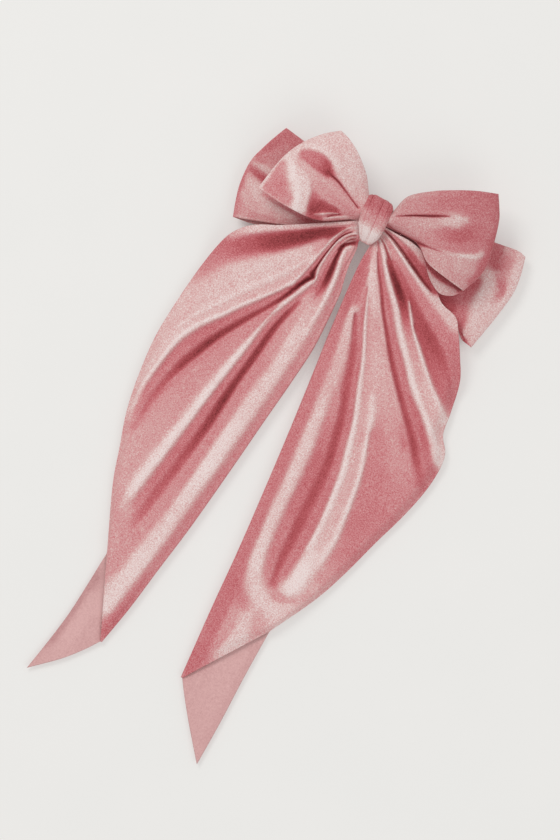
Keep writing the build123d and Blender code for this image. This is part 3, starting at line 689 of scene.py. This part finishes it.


# -------------------- bow loops
# Each outline lists the edges of one flattened loop, from the knot to its folded end. "mid" and "half"
# are the height of its middle and half its thickness, at shares of the way out from the knot. "sink" is how
# far its lower edge sinks at the knot.
# Fold lines of painted light and shade on the loops: a high tone paints a highlight on crests and edges, a
# low tone paints shade in creases, dimples and under hems.
FRONT_RIGHT_FOLDS = [
    (0.9, (7.5, 6, 0.5), (8, 15, 0.55), (12, 21, 0.5), (18, 26, 0.35), (28, 31.5, 0.18), (40, 37, 0),
     (52, 42, 0)),
    (1.2, (12, 14, 0.3), (20, 21, 0.25), (30, 27, 0.04), (42, 31, 0), (52, 35, 0)),
    (0.2, (8, 6, 0.2), (13, 8.6, -0.8), (20, 12.5, -1.2), (27, 16.2, -1.2), (33, 19, -0.9), (37, 20.6, 0.1)),
    (0.3, (37, 20.8, 0.6), (40, 21.4, 0.85), (45, 22.6, 0.75)),
    (0.9, (12, 6, 0.4), (22, 10, 0.5), (31, 14, 0.56), (36, 17.6, 0.66), (41, 19.2, 0.7)),
    (1.2, (36, 9, 0.1), (42, 11, -0.1), (48, 14, -0.2), (53, 18, -0.05), (57, 24, 0.05)),
    (1, (12, 2.5, 0.3), (22, 4.5, 0.36), (30, 5, 0.3), (38, 4, 0.2), (46, 6.5, 0.1), (55, 11, 0.1)),
    (0.7, (57, 39, -0.05), (62, 27, -0.15), (65, 14, -0.2), (65.5, 4, -0.15), (63.5, -7, -0.05)),
    (0.5, (42, 1.6, 0.5), (48, 3, 0.62), (54, 5.2, 0.82), (59, 7.4, 0.86), (61.5, 10.5, 0.6)),
    (1.2, (34, -2.5, 0.45), (44, -2, 0.5), (54, -2, 0.52), (60, -1, 0.45)),
    (0.9, (38, -6, 0.4), (48, -7.5, 0.44), (60, -9, 0.4)),
    (0.24, (6, 0.5, -0.2), (12, 0.1, -0.7), (18, -0.2, -0.8), (24, -0.4, -1), (30, -0.3, -1),
     (36, 0.2, -0.5), (41, 1, 0.1)),
    (0.16, (38, -8, 0.7), (50, -10.5, 0.75), (61, -12.1, 0.7)),
]
FRONT_RIGHT_BACK_FOLDS = [
    (1, (10, 20, 0.3), (30, 6, 0.2), (60, 10, 0.3)),
    # painted shadow: a dark strip under the front layer's hem
    (0.5, (30, -4, -0.6), (38, -9.5, -0.7), (50, -12.2, -0.6), (61, -13, -0.5)),
    (0.9, (36, -11, 0.5), (43, -15.6, 0.62), (51, -17, 0.64), (57, -16, 0.5)),
]
FRONT_RIGHT = {
    "top": [(4, 6), (6.5, 8), (10, 19.5), (20, 28), (30, 34), (42, 40), (54, 44.5)],
    "fold": [(54, 44.5), (58, 38), (61.5, 31), (65, 18), (67, 8), (66.3, -1), (62, -12.5)],
    "bottom": [(4, -1.2), (12, -0.5), (22, -0.5), (28.5, -1.6), (37, -8), (50, -10.8), (62, -12.5)],
    "back_bottom": [(4, -1.2), (12, -0.6), (26, -0.9), (35, -7.5), (41, -14), (47, -18.3), (52, -19.8),
        (58, -17.6), (62, -12.5)],
    "mid": [(0, 20), (0.4, 22.5), (0.7, 25), (1, 25.5)],
    "half": [(0, 3.4), (0.15, 3.9), (0.4, 6.6), (0.7, 7.2), (1, 6.2)],
    # painted shade: the whole loop darkened evenly, the most of the four loops
    "painted_shade": 0.9,
    "sink": 2,
    "folds": FRONT_RIGHT_FOLDS,
    "back_folds": FRONT_RIGHT_BACK_FOLDS,
}

# Fold lines of painted light and shade, as for the front right loop.
FRONT_LEFT_FOLDS = [
    (1.4, (-12, 8, 0.62), (-20, 16, 0.7), (-29, 23.5, 0.72), (-38, 29, 0.7), (-48, 24, 0.76)),
    (0.7, (-56, 9, 0.82), (-56, 14, 0.86), (-52, 18, 0.86), (-44, 20, 0.88), (-36, 18, 0.84),
     (-28, 12.5, 0.75), (-18, 7.5, 0.68)),
    (0.8, (-52, 13, 0.05), (-48, 14.8, 0), (-43, 15.4, -0.12), (-38.5, 13.4, -0.55)),
    (0.8, (-50, 11.4, -0.02), (-45, 10.2, -0.12), (-40, 9.8, -0.32), (-36, 10, -0.9)),
    (0.2, (-34, 10, -1.2), (-28, 8.5, -1.2), (-22, 5.8, -0.9), (-16, 3, -0.9), (-11.5, 1, -1)),
    (1, (-50, 8, 0.55), (-42, 6, 0.48), (-33, 5, 0.44), (-24, 3.2, 0.4), (-14, -0.5, 0.34)),
    (0.8, (-62, 11, 0.8), (-57, 6, 0.96), (-52, 1, 1.03), (-47, -4, 1.03), (-43.5, -10, 1.05),
     (-41.5, -16, 1.05)),
    (0.8, (-50, 3.5, 0.8), (-44, -1, 0.84), (-40, -6, 0.86), (-38.5, -14, 0.86)),
    (1.1, (-61, 2, 0.3), (-59, -5, 0.15), (-55, -9.5, 0.12), (-49, -14, 0.2), (-60, -13, 0.2)),
    (0.4, (-60, 10, 0.8), (-63, 1, 0.85), (-64.8, -8, 0.85), (-65.6, -14, 0.85)),
    (1.1, (-36, -4.5, -0.1), (-34.5, -8, -0.5), (-32.5, -11.5, -0.8), (-30, -8, -0.7), (-25.5, -7, -0.6),
     (-22, -6, -0.6)),
    (1, (-36, -0.5, 0.4), (-26, -2.5, 0.3), (-14, -3.6, 0.2)),
    (0.3, (-31, -13.5, 0.5), (-27.5, -11.5, 0.75), (-23.5, -8.6, 0.8), (-20, -7, 0.7)),
    (0.2, (-24, -11.2, -0.6), (-21.6, -8.6, -1), (-18.5, -6.6, -1)),
    (0.3, (-25, -13, 0.55), (-20, -9.2, 0.75), (-14, -6, 0.7)),
    (0.16, (-65, -15.2, 0.75), (-50, -16.5, 0.75), (-37, -16.4, 0.7)),
]
FRONT_LEFT = {
    "top": [(-6, 8), (-9.5, 10.5), (-16, 19.5), (-26, 28), (-34, 32.5), (-40, 34.5)],
    "fold": [(-40, 34.5), (-46, 30), (-51, 25), (-56, 18.5), (-60.5, 10), (-63.3, 0), (-66, -15.5)],
    "bottom": [(-5, -4.5), (-12, -6.5), (-20, -11.5), (-27, -15.2), (-36, -16.9), (-52, -17), (-66, -15.5)],
    "back_bottom": [(-5, -4.5), (-12, -6), (-20, -10.5), (-30, -14), (-42, -15), (-54, -15.6), (-66, -15.5)],
    "mid": [(0, 20), (0.4, 22), (0.7, 24.5), (1, 25)],
    "half": [(0, 3.4), (0.15, 3.9), (0.4, 6.4), (0.7, 7.2), (1, 6)],
    # painted shade: the whole loop darkened evenly
    "painted_shade": 0.2,
    "sink": 2,
    "folds": FRONT_LEFT_FOLDS,
    "back_folds": [(1, (-10, 0, 0.3), (-60, 0, 0.3))],
}

REAR_HEIGHTS = {
    "mid": [(0, 12.8), (0.15, 12.2), (0.4, 11.6), (0.7, 9.6), (1, 7.6)],
    "half": [(0, 2), (0.15, 1), (0.4, 1.6), (0.7, 3), (1, 3.2)],
}
# Fold lines of painted light and shade, as for the front right loop.
REAR_RIGHT_FOLDS = [
    (1, (62, 14, 0), (68, 13, -0.15), (71, 9, -0.2), (75, 13, 0.1), (78, 18, 0.4)),
    (0.8, (80, 20, 0.65), (84, 12, 0.72), (86, 1, 0.76), (85, -12, 0.72), (82.5, -26, 0.7), (80, -35, 0.65)),
    (1.3, (70, 3, 0.66), (73, -5, 0.74), (74, -15, 0.74), (76, -26, 0.72), (74.5, -32, 0.62)),
    (0.7, (75, 6, 0.35), (78.5, 2, 0.1), (81.5, -2, 0.08), (81, -5, 0.2)),
    (1, (66, -4, -0.2), (64, -12, -0.2), (65, -20, 0), (67, -26, -0.1), (70, -32, -0.3)),
    (0.3, (71.5, -33, -0.7), (75.5, -36, -0.6), (79, -37.2, 0.2)),
    (1, (56, -21, -0.5), (61, -24, -0.4)),
]
REAR_RIGHT = {
    "top": [(4, 7), (20, 13), (40, 18), (64, 20), (78, 22), (84, 21)],
    "fold": [(84, 21), (86.5, 11), (87.6, 0), (86, -13), (83.5, -26), (81, -38)],
    "bottom": [(4, -4), (20, -11), (40, -19), (56, -25), (70, -33), (75, -36.3), (81, -38)],
    **REAR_HEIGHTS,
    # painted shade: the whole loop darkened evenly
    "painted_shade": 0.1,
    "folds": REAR_RIGHT_FOLDS,
}

# Fold lines of painted light and shade, as for the front right loop.
REAR_LEFT_FOLDS = [
    (1.2, (-58, 18.5, 0), (-66, 19.5, -0.02), (-71, 11, -0.05), (-74.5, 3, 0.05)),
    (1, (-62, 10, 0.15), (-67, 5, 0.25), (-73, 0, 0.2)),
    (0.6, (-76, -3.4, 0.35), (-71, -3.6, 0.62), (-64, -4, 0.68)),
    (0.6, (-75.5, -8, 0), (-71, -8.4, -0.3), (-64, -9.5, -0.4)),
    (1, (-74, -12, 0.5), (-68, -15, 0.68), (-62, -20, 0.66), (-52, -21.5, 0.62), (-42, -21, 0.5)),
    # painted shadow under the front left loop's hem
    (0.6, (-62, -16.8, 0.25), (-48, -17.4, 0.05), (-34, -17.4, -0.1)),
    (1, (-71, -22, 0.5), (-62, -25.5, 0.54), (-52, -24.5, 0.5), (-44, -23.5, 0.42)),
    (0.8, (-72.5, -26, 0.2), (-68, -30, 0.34), (-60, -29.5, 0.3), (-50, -27, 0.25)),
    (0.6, (-76.2, -9, 0.02), (-75.8, -18, 0), (-73.3, -27, 0.05), (-71, -34, 0.1)),
    (0.16, (-69, -34.6, 0.65), (-60, -31.6, 0.65), (-46, -26.6, 0.55)),
]
REAR_LEFT = {
    "top": [(-4, 8), (-20, 13), (-40, 18), (-55, 20), (-68, 22)],
    "fold": [(-68, 22), (-71, 15), (-74, 7), (-77, -4), (-76.4, -17), (-74, -27), (-71, -36)],
    "bottom": [(-4, -4), (-20, -13), (-34, -22), (-45, -27), (-60, -32.5), (-71, -36)],
    "back_bottom": [(-4, -4), (-20, -14.5), (-34, -24), (-45, -29), (-60, -34.2), (-71, -36)],
    **REAR_HEIGHTS,
    # painted shade: the whole loop darkened evenly
    "painted_shade": 0.4,
    "folds": REAR_LEFT_FOLDS,
}

LOOP_RELIEF = 1.3  # height from a valley of tone 0 to a crest of tone 1
LOOP_LEVEL_TONE = 0.4
LOOP_BLUR = 0.08  # how far along a loop its heights are blurred, as a share of its reach
LOOP_ROWS = 130
LOOP_COLS = 110
END_ROUND = 0.28  # share of the reach in which the two layers meet at the folded end
END_CROWN = 0.22  # how much flatter a loop is along its edges, far from the knot
KNOT_CROWN = 0.73  # and how much more so at the knot


def read_edge(points, reach):
    """Points of an edge at shares of its length."""
    dense = curve(points, 500)
    places = np.linspace(0, 1, len(dense))
    return np.stack([np.interp(reach, places, dense[:, k]) for k in (0, 1)], axis=1)


def patch(loop, bottom, reach):
    """A plan sheet between the loop's knot, top and folded edges and a bottom edge."""
    left = curve([loop["top"][0], loop["bottom"][0]], LOOP_ROWS)
    right = curve(loop["fold"], LOOP_ROWS)
    top = read_edge(loop["top"], reach)
    bottom = read_edge(bottom, reach)
    u = reach[None, :, None]
    v = np.linspace(0, 1, LOOP_ROWS)[:, None, None]
    ruled = (1 - u) * left[:, None] + u * right[:, None] + (1 - v) * top[None] + v * bottom[None]
    upper = (1 - u) * left[0] + u * right[0]
    lower = (1 - u) * left[-1] + u * right[-1]
    return ruled - (1 - v) * upper - v * lower


def loop_heights(loop, tone, reach):
    """Heights of a loop's front and back layers."""
    across = np.linspace(-1, 1, LOOP_ROWS)[:, None]
    rounding = np.sqrt(1 - np.clip((reach - (1 - END_ROUND)) / END_ROUND, 0, 1) ** 2)
    gathered = 1 - rise(reach, 0, 0.7)
    crown = 1 - (END_CROWN + KNOT_CROWN * gathered) * across**4
    half = blurred(loop["half"], reach, LOOP_BLUR) * rounding * crown
    middle = blurred(loop["mid"], reach, LOOP_BLUR)
    middle = middle - loop.get("sink", 0) * gathered * np.clip(across, 0, 1) ** 2
    hold = np.minimum(1.3 * rounding, 1) * rise(reach, 0, 0.12)
    return middle + half + LOOP_RELIEF * (tone - LOOP_LEVEL_TONE) * hold, middle - half


def make_loop(name, loop):
    """One loop of a bow: its front layer from the knot out, round the folded end and back behind."""
    reach = np.sin(np.linspace(0, math.pi / 2, LOOP_COLS))
    front = patch(loop, loop["bottom"], reach)
    back = patch(loop, loop.get("back_bottom", loop["bottom"]), reach)
    tone = painted_light_tone(front, loop["folds"])
    back_tone = painted_light_tone(back, loop.get("back_folds", loop["folds"]))
    front_z, back_z = loop_heights(loop, tone, reach)
    front = np.concatenate([front, front_z[..., None]], axis=-1)
    back = np.concatenate([back, back_z[..., None]], axis=-1)
    points = np.concatenate([front, back[:, -2::-1]], axis=1)[::-1]
    tones = np.concatenate([tone, back_tone[:, -2::-1]], axis=1)[::-1]
    if loop["fold"][0][0] < 0:
        points = points[:, ::-1]
        tones = tones[:, ::-1]
    obj = sheet_mesh(name, points, tones, painted_shade=loop["painted_shade"])
    thicken(obj, VELVET)
    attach(obj, BASE_BODY)
    return obj


front_right = make_loop("front_loop_right_velvet", FRONT_RIGHT)
make_loop("front_loop_left_velvet", FRONT_LEFT)
rear_right = make_loop("rear_loop_right_velvet", REAR_RIGHT)
make_loop("rear_loop_left_velvet", REAR_LEFT)
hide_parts("front_bow")
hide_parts("rear_bow")


# -------------------- knot band
KNOT_PATH = [  # (Y, height) once round the bundle, from the middle of the front, downwards
    (0, 26.2), (-7, 25.6), (-12, 22.6), (-14.6, 18.5), (-13.2, 13), (-8, 8.6), (0, 7.9), (7, 8.6),
    (10.6, 13), (12.2, 18.5), (11, 23), (6, 25.8),
]
# (Y, X) of the band's edges
KNOT_LEFT = [(-16, -3), (-14, -3.6), (-11, -5.4), (-7, -7.5), (0, -9), (6, -9.5), (12.5, -10.2)]
KNOT_RIGHT = [(-16, 4.6), (-14, 5.4), (-11, 6.5), (-6, 7.2), (0, 7.2), (6, 6.6), (12.5, 6.6)]
KNOT_AROUND = 260
KNOT_ACROSS = 90
EDGE_ROLL = 2.3  # how far the band's edges roll in
TOP_ROLL = 1.5  # how much more they do where the band turns over the top
CREASE_DEPTH = 0.3
WRINKLE_HEIGHT = 0.12


def knot_wrinkles(across):
    """Heights of the wrinkles that run round the band, about plus or minus 1."""
    rng = np.random.default_rng(7)
    angle = np.linspace(0, 2 * math.pi, KNOT_AROUND, endpoint=False)[:, None]
    total = np.zeros((KNOT_AROUND, KNOT_ACROSS))
    for waves in (3, 5, 8, 12, 17):
        drift = 0.3 * np.sin(angle + rng.uniform(0, 6.28)) + 0.2 * np.sin(2 * angle + rng.uniform(0, 6.28))
        swell = 0.6 + 0.4 * np.sin(3 * angle + rng.uniform(0, 6.28))
        total += swell * np.sin(2 * math.pi * waves * across + rng.uniform(0, 6.28) + 3 * drift) / waves**0.5
    return total


def make_knot():
    """The scrunched band round the middle, its tone painted light and shade: deep rose at the top of its
    front, pale at its foot.
    """
    loop = curve(KNOT_PATH + [KNOT_PATH[0]], KNOT_AROUND + 1)[:-1]
    ahead = np.roll(loop, -1, axis=0) - np.roll(loop, 1, axis=0)
    out = np.stack([ahead[:, 1:], -ahead[:, :1]])
    out /= np.linalg.norm(ahead, axis=1)[:, None]
    loop_y = loop[:, :1]
    loop_z = loop[:, 1:]
    across = np.linspace(0, 1, KNOT_ACROSS)[None, :]
    x = np.interp(loop_y, *zip(*KNOT_LEFT)) * (1 - across) + np.interp(loop_y, *zip(*KNOT_RIGHT)) * across
    wrinkle = knot_wrinkles(across)
    crease = -np.clip(-wrinkle - 0.35, 0, 1.2)
    over_top = rise(loop_y, 0, 6) * (1 - rise(loop_z, 20, 25))
    roll = (EDGE_ROLL + TOP_ROLL * over_top) * np.abs(2 * across - 1) ** 6
    lift = CREASE_DEPTH * crease + WRINKLE_HEIGHT * wrinkle - roll
    y = loop_y + out[0] * lift
    z = loop_z + out[1] * lift
    # painted light and shade: the creases darkened as painted shade, the front painted darker towards its
    # top and paler at its foot
    front_tone = 0.74 * rise(-y, 2, 9) - 0.5 * rise(y, -1, 7)
    tone = 0.36 + 0.07 * wrinkle + 0.5 * crease + front_tone * rise(z, 18, 22)
    points = np.stack([x, y, z], axis=-1)
    # the whole band darkened evenly as well, a painted shade
    obj = sheet_mesh("knot_band_velvet", points.transpose(1, 0, 2), tone.T, closed=True, painted_shade=0.6)
    thicken(obj, VELVET, REVERSE)
    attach(obj, BASE_BODY)
    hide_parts("knot_band")


make_knot()


# -------------------- thread
THREAD_RADIUS = 0.22
PLY_OFFSET = 0.5  # from the thread's middle to each ply's, in thread radii
PLY_RADIUS = 0.52
PLY_PITCH = 3.2  # length in which a ply turns by one radian, in thread radii
PLY_SIDES = 6
TURNS = 5  # of the gathering thread, and stitches in the seam


def across_path(path):
    """Two directions square to a path of 3-D points, at each of its points."""
    forward = np.gradient(path, axis=0)
    forward /= np.linalg.norm(forward, axis=1)[:, None]
    side = np.cross(forward, [0.13, 0.4, 0.9])
    side /= np.linalg.norm(side, axis=1)[:, None]
    return side, np.cross(forward, side)


def tube(path, radius, sides):
    """A round tube along a path of 3-D points, as vertices and faces."""
    side, up = across_path(path)
    angle = np.linspace(0, 2 * math.pi, sides, endpoint=False)[None, :, None]
    verts = path[:, None] + radius * (side[:, None] * np.cos(angle) + up[:, None] * np.sin(angle))
    last = sides * (len(path) - 1)
    ends = [list(range(sides))[::-1], list(range(last, last + sides))]
    return verts.reshape(-1, 3), grid_faces(len(path), sides, closed=True) + ends


def cord(name, paths, node):
    """Two-ply thread along each path, standing for a CAD node."""
    verts = []
    faces = []
    for path in paths:
        path = resample(path, 40 * len(path))
        side, up = across_path(path)
        for ply in (0, math.pi):
            turn = (lengths(path) / (PLY_PITCH * THREAD_RADIUS) + ply)[:, None]
            strand = path + PLY_OFFSET * THREAD_RADIUS * (side * np.cos(turn) + up * np.sin(turn))
            ply_verts, ply_faces = tube(strand, PLY_RADIUS * THREAD_RADIUS, PLY_SIDES)
            faces += [[i + len(verts) for i in face] for face in ply_faces]
            verts += (ply_verts * MM).tolist()
    mesh = bpy.data.meshes.new(name)
    mesh.from_pydata(verts, [], faces)
    mesh.update()
    mesh.shade_smooth()
    mesh.materials.append(THREAD)
    obj = add_object(name, mesh)
    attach(obj, BASE_BODY)
    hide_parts(node)


def rounded_loop(x, low, high):
    """Points once round a rounded rectangle across the clip at x; low and high are its (Y, Z) corners."""
    angle = np.linspace(0, 2 * math.pi, 49)
    around = np.stack([np.cos(angle), np.sin(angle)], axis=1)
    around = np.sign(around) * np.abs(around) ** 0.35
    low, high = np.array([low, high])
    return np.insert((low + high) / 2 + (high - low) / 2 * around, 0, x, axis=1)


def turn_places(low, high):
    """X of each turn or stitch, spread evenly over a node's width."""
    return low[0] + (high[0] - low[0]) * (np.arange(TURNS) + 0.5) / TURNS


def make_gather_thread():
    low, high = box_mm("gather_thread")
    turns = [rounded_loop(x, low[1:], high[1:]) for x in turn_places(low, high)]
    cord("gather_thread_wound", [np.vstack(turns)], "gather_thread")


def make_band_stitches():
    """Slanted stitches that bow over the seam."""
    low, high = box_mm("band_stitches")
    y = np.linspace(low[1], high[1], 7)
    share = y / high[1]
    z = (low[2] + high[2]) / 2 + 0.5 * share**2
    stitches = [np.stack([x + 0.5 * share, y, z], axis=1) for x in turn_places(low, high)]
    cord("band_whip_stitches", stitches, "band_stitches")


def make_tack_stitches():
    """Two rings through each of the clip's end holes, either side of its middle line."""
    low, high = box_mm("tack_stitches")
    low += THREAD_RADIUS
    high -= THREAD_RADIUS
    clearance = 0.32
    rings = []
    for x in (low[0], high[0]):
        rings.append(rounded_loop(x, low[1:], (-clearance, high[2])))
        rings.append(rounded_loop(x, (clearance, low[2]), high[1:]))
    cord("tack_stitch_loops", rings, "tack_stitches")


make_gather_thread()
make_band_stitches()
make_tack_stitches()


# -------------------- clip
CLIP_NODES = (
    "base_plate", "hinge_pin", "clasp_arm", "spring_rivet", "catch_plate", "catch_wing_upper",
    "catch_wing_lower", "catch_rivet", "tension_spring",
)
for node in CLIP_NODES:
    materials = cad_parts[node].data.materials
    materials.clear()
    materials.append(SPRING_STEEL if node == "tension_spring" else CLIP_STEEL)


# -------------------- stage, light and camera
# Lengths here are in metres.
PALE = (235, 234, 232)
FLOOR_HALF = 6.0
FLOOR_DROP = 0.0003  # how far the floor lies under the clip
FLOOR_GLOW = 0.485  # the table glows a little, so that shadows stay faint
LIGHT_TARGET = Vector((0, -0.12, 0))
HEIGHT_SHOWN = 0.4704  # how much of the table the camera shows
CAMERA_TURN = 28  # degrees, so that the tails lead to the lower left


def floor_glow(m):
    """Strength of the table's glow, a painted light that keeps shadows faint: as the camera sees it, it
    fades in the narrow gaps under cloth, which paints shade there.
    """
    sky = m.add("ShaderNodeAmbientOcclusion", samples=8)
    sky.inputs["Distance"].default_value = 0.03
    seen = m.add("ShaderNodeMapRange", interpolation_type="SMOOTHSTEP")
    m.wire(sky.outputs["AO"], seen.inputs["Value"])
    seen.inputs["From Min"].default_value = 0.1
    seen.inputs["From Max"].default_value = 0.45
    seen.inputs["To Max"].default_value = FLOOR_GLOW
    unseen = m.math("SUBTRACT", 1.0, m.add("ShaderNodeLightPath").outputs["Is Camera Ray"])
    return m.math("MAXIMUM", seen.outputs["Result"], m.math("MULTIPLY", unseen, FLOOR_GLOW))


def floor_material():
    """A pale table top that can't be seen from below."""
    m = Nodes("pale_table")
    colour = m.ramp(m.noise(size_mm=60.0, detail=3.0), [(0.2, (178, 178, 176)), (0.8, (181, 180, 178))])
    m.set(Base_Color=colour, Roughness=0.95, Specular_IOR_Level=0.1)
    m.set(Emission_Color=srgb(*PALE), Emission_Strength=floor_glow(m))
    mix = m.add("ShaderNodeMixShader")
    m.wire(m.add("ShaderNodeNewGeometry").outputs["Backfacing"], mix.inputs["Fac"])
    m.wire(m.shader.outputs["BSDF"], mix.inputs[1])
    m.wire(m.add("ShaderNodeBsdfTransparent").outputs["BSDF"], mix.inputs[2])
    m.wire(mix.outputs["Shader"], m.tree.nodes["Material Output"].inputs["Surface"])
    return m.material


def make_floor():
    mesh = bpy.data.meshes.new("floor")
    corners = [(-1, -1), (1, -1), (1, 1), (-1, 1)]
    mesh.from_pydata([(x * FLOOR_HALF, y * FLOOR_HALF, 0) for x, y in corners], [], [(0, 1, 2, 3)])
    mesh.materials.append(floor_material())
    floor = add_object("floor", mesh)
    floor.location.z = -FLOOR_DROP


def area_light(name, place, size, energy, colour=(1, 1, 1)):
    """A round soft light aimed at the middle of the object."""
    light = bpy.data.lights.new(name, "AREA")
    light.shape = "DISK"
    light.size = size
    light.energy = energy
    light.color = colour
    obj = add_object(name, light)
    obj.location = place
    obj.rotation_euler = (LIGHT_TARGET - obj.location).to_track_quat("-Z", "Y").to_euler()


def make_world():
    """Even light from all round, with a pale backdrop for the camera to see."""
    world = bpy.data.worlds.new("studio")
    bpy.context.scene.world = world
    world.use_nodes = True
    nodes = world.node_tree.nodes
    wire = world.node_tree.links.new
    light = nodes["Background"]
    light.inputs["Color"].default_value = (1.0, 0.995, 0.985, 1)
    light.inputs["Strength"].default_value = 0.6
    backdrop = nodes.new("ShaderNodeBackground")
    backdrop.inputs["Color"].default_value = srgb(*PALE)
    mix = nodes.new("ShaderNodeMixShader")
    wire(nodes.new("ShaderNodeLightPath").outputs["Is Camera Ray"], mix.inputs["Fac"])
    wire(light.outputs["Background"], mix.inputs[1])
    wire(backdrop.outputs["Background"], mix.inputs[2])
    wire(mix.outputs["Shader"], nodes["World Output"].inputs["Surface"])


def make_camera():
    """A long lens straight down over the bow."""
    camera = bpy.data.cameras.new("camera")
    camera.lens = 400
    camera.sensor_width = 36
    camera.sensor_fit = "AUTO"
    obj = add_object("camera", camera)
    obj.location = (0.0056, -0.1239, HEIGHT_SHOWN * camera.lens / camera.sensor_width)
    obj.rotation_euler = (0, 0, math.radians(CAMERA_TURN))
    bpy.context.scene.camera = obj


make_floor()
make_world()
area_light("key", (-1.3, 0.6, 1.8), size=1.0, energy=17, colour=(1.0, 0.985, 0.97))
area_light("fill", (1.4, -0.9, 1.8), size=1.6, energy=9)
make_camera()
bpy.context.scene.view_settings.view_transform = "Standard"
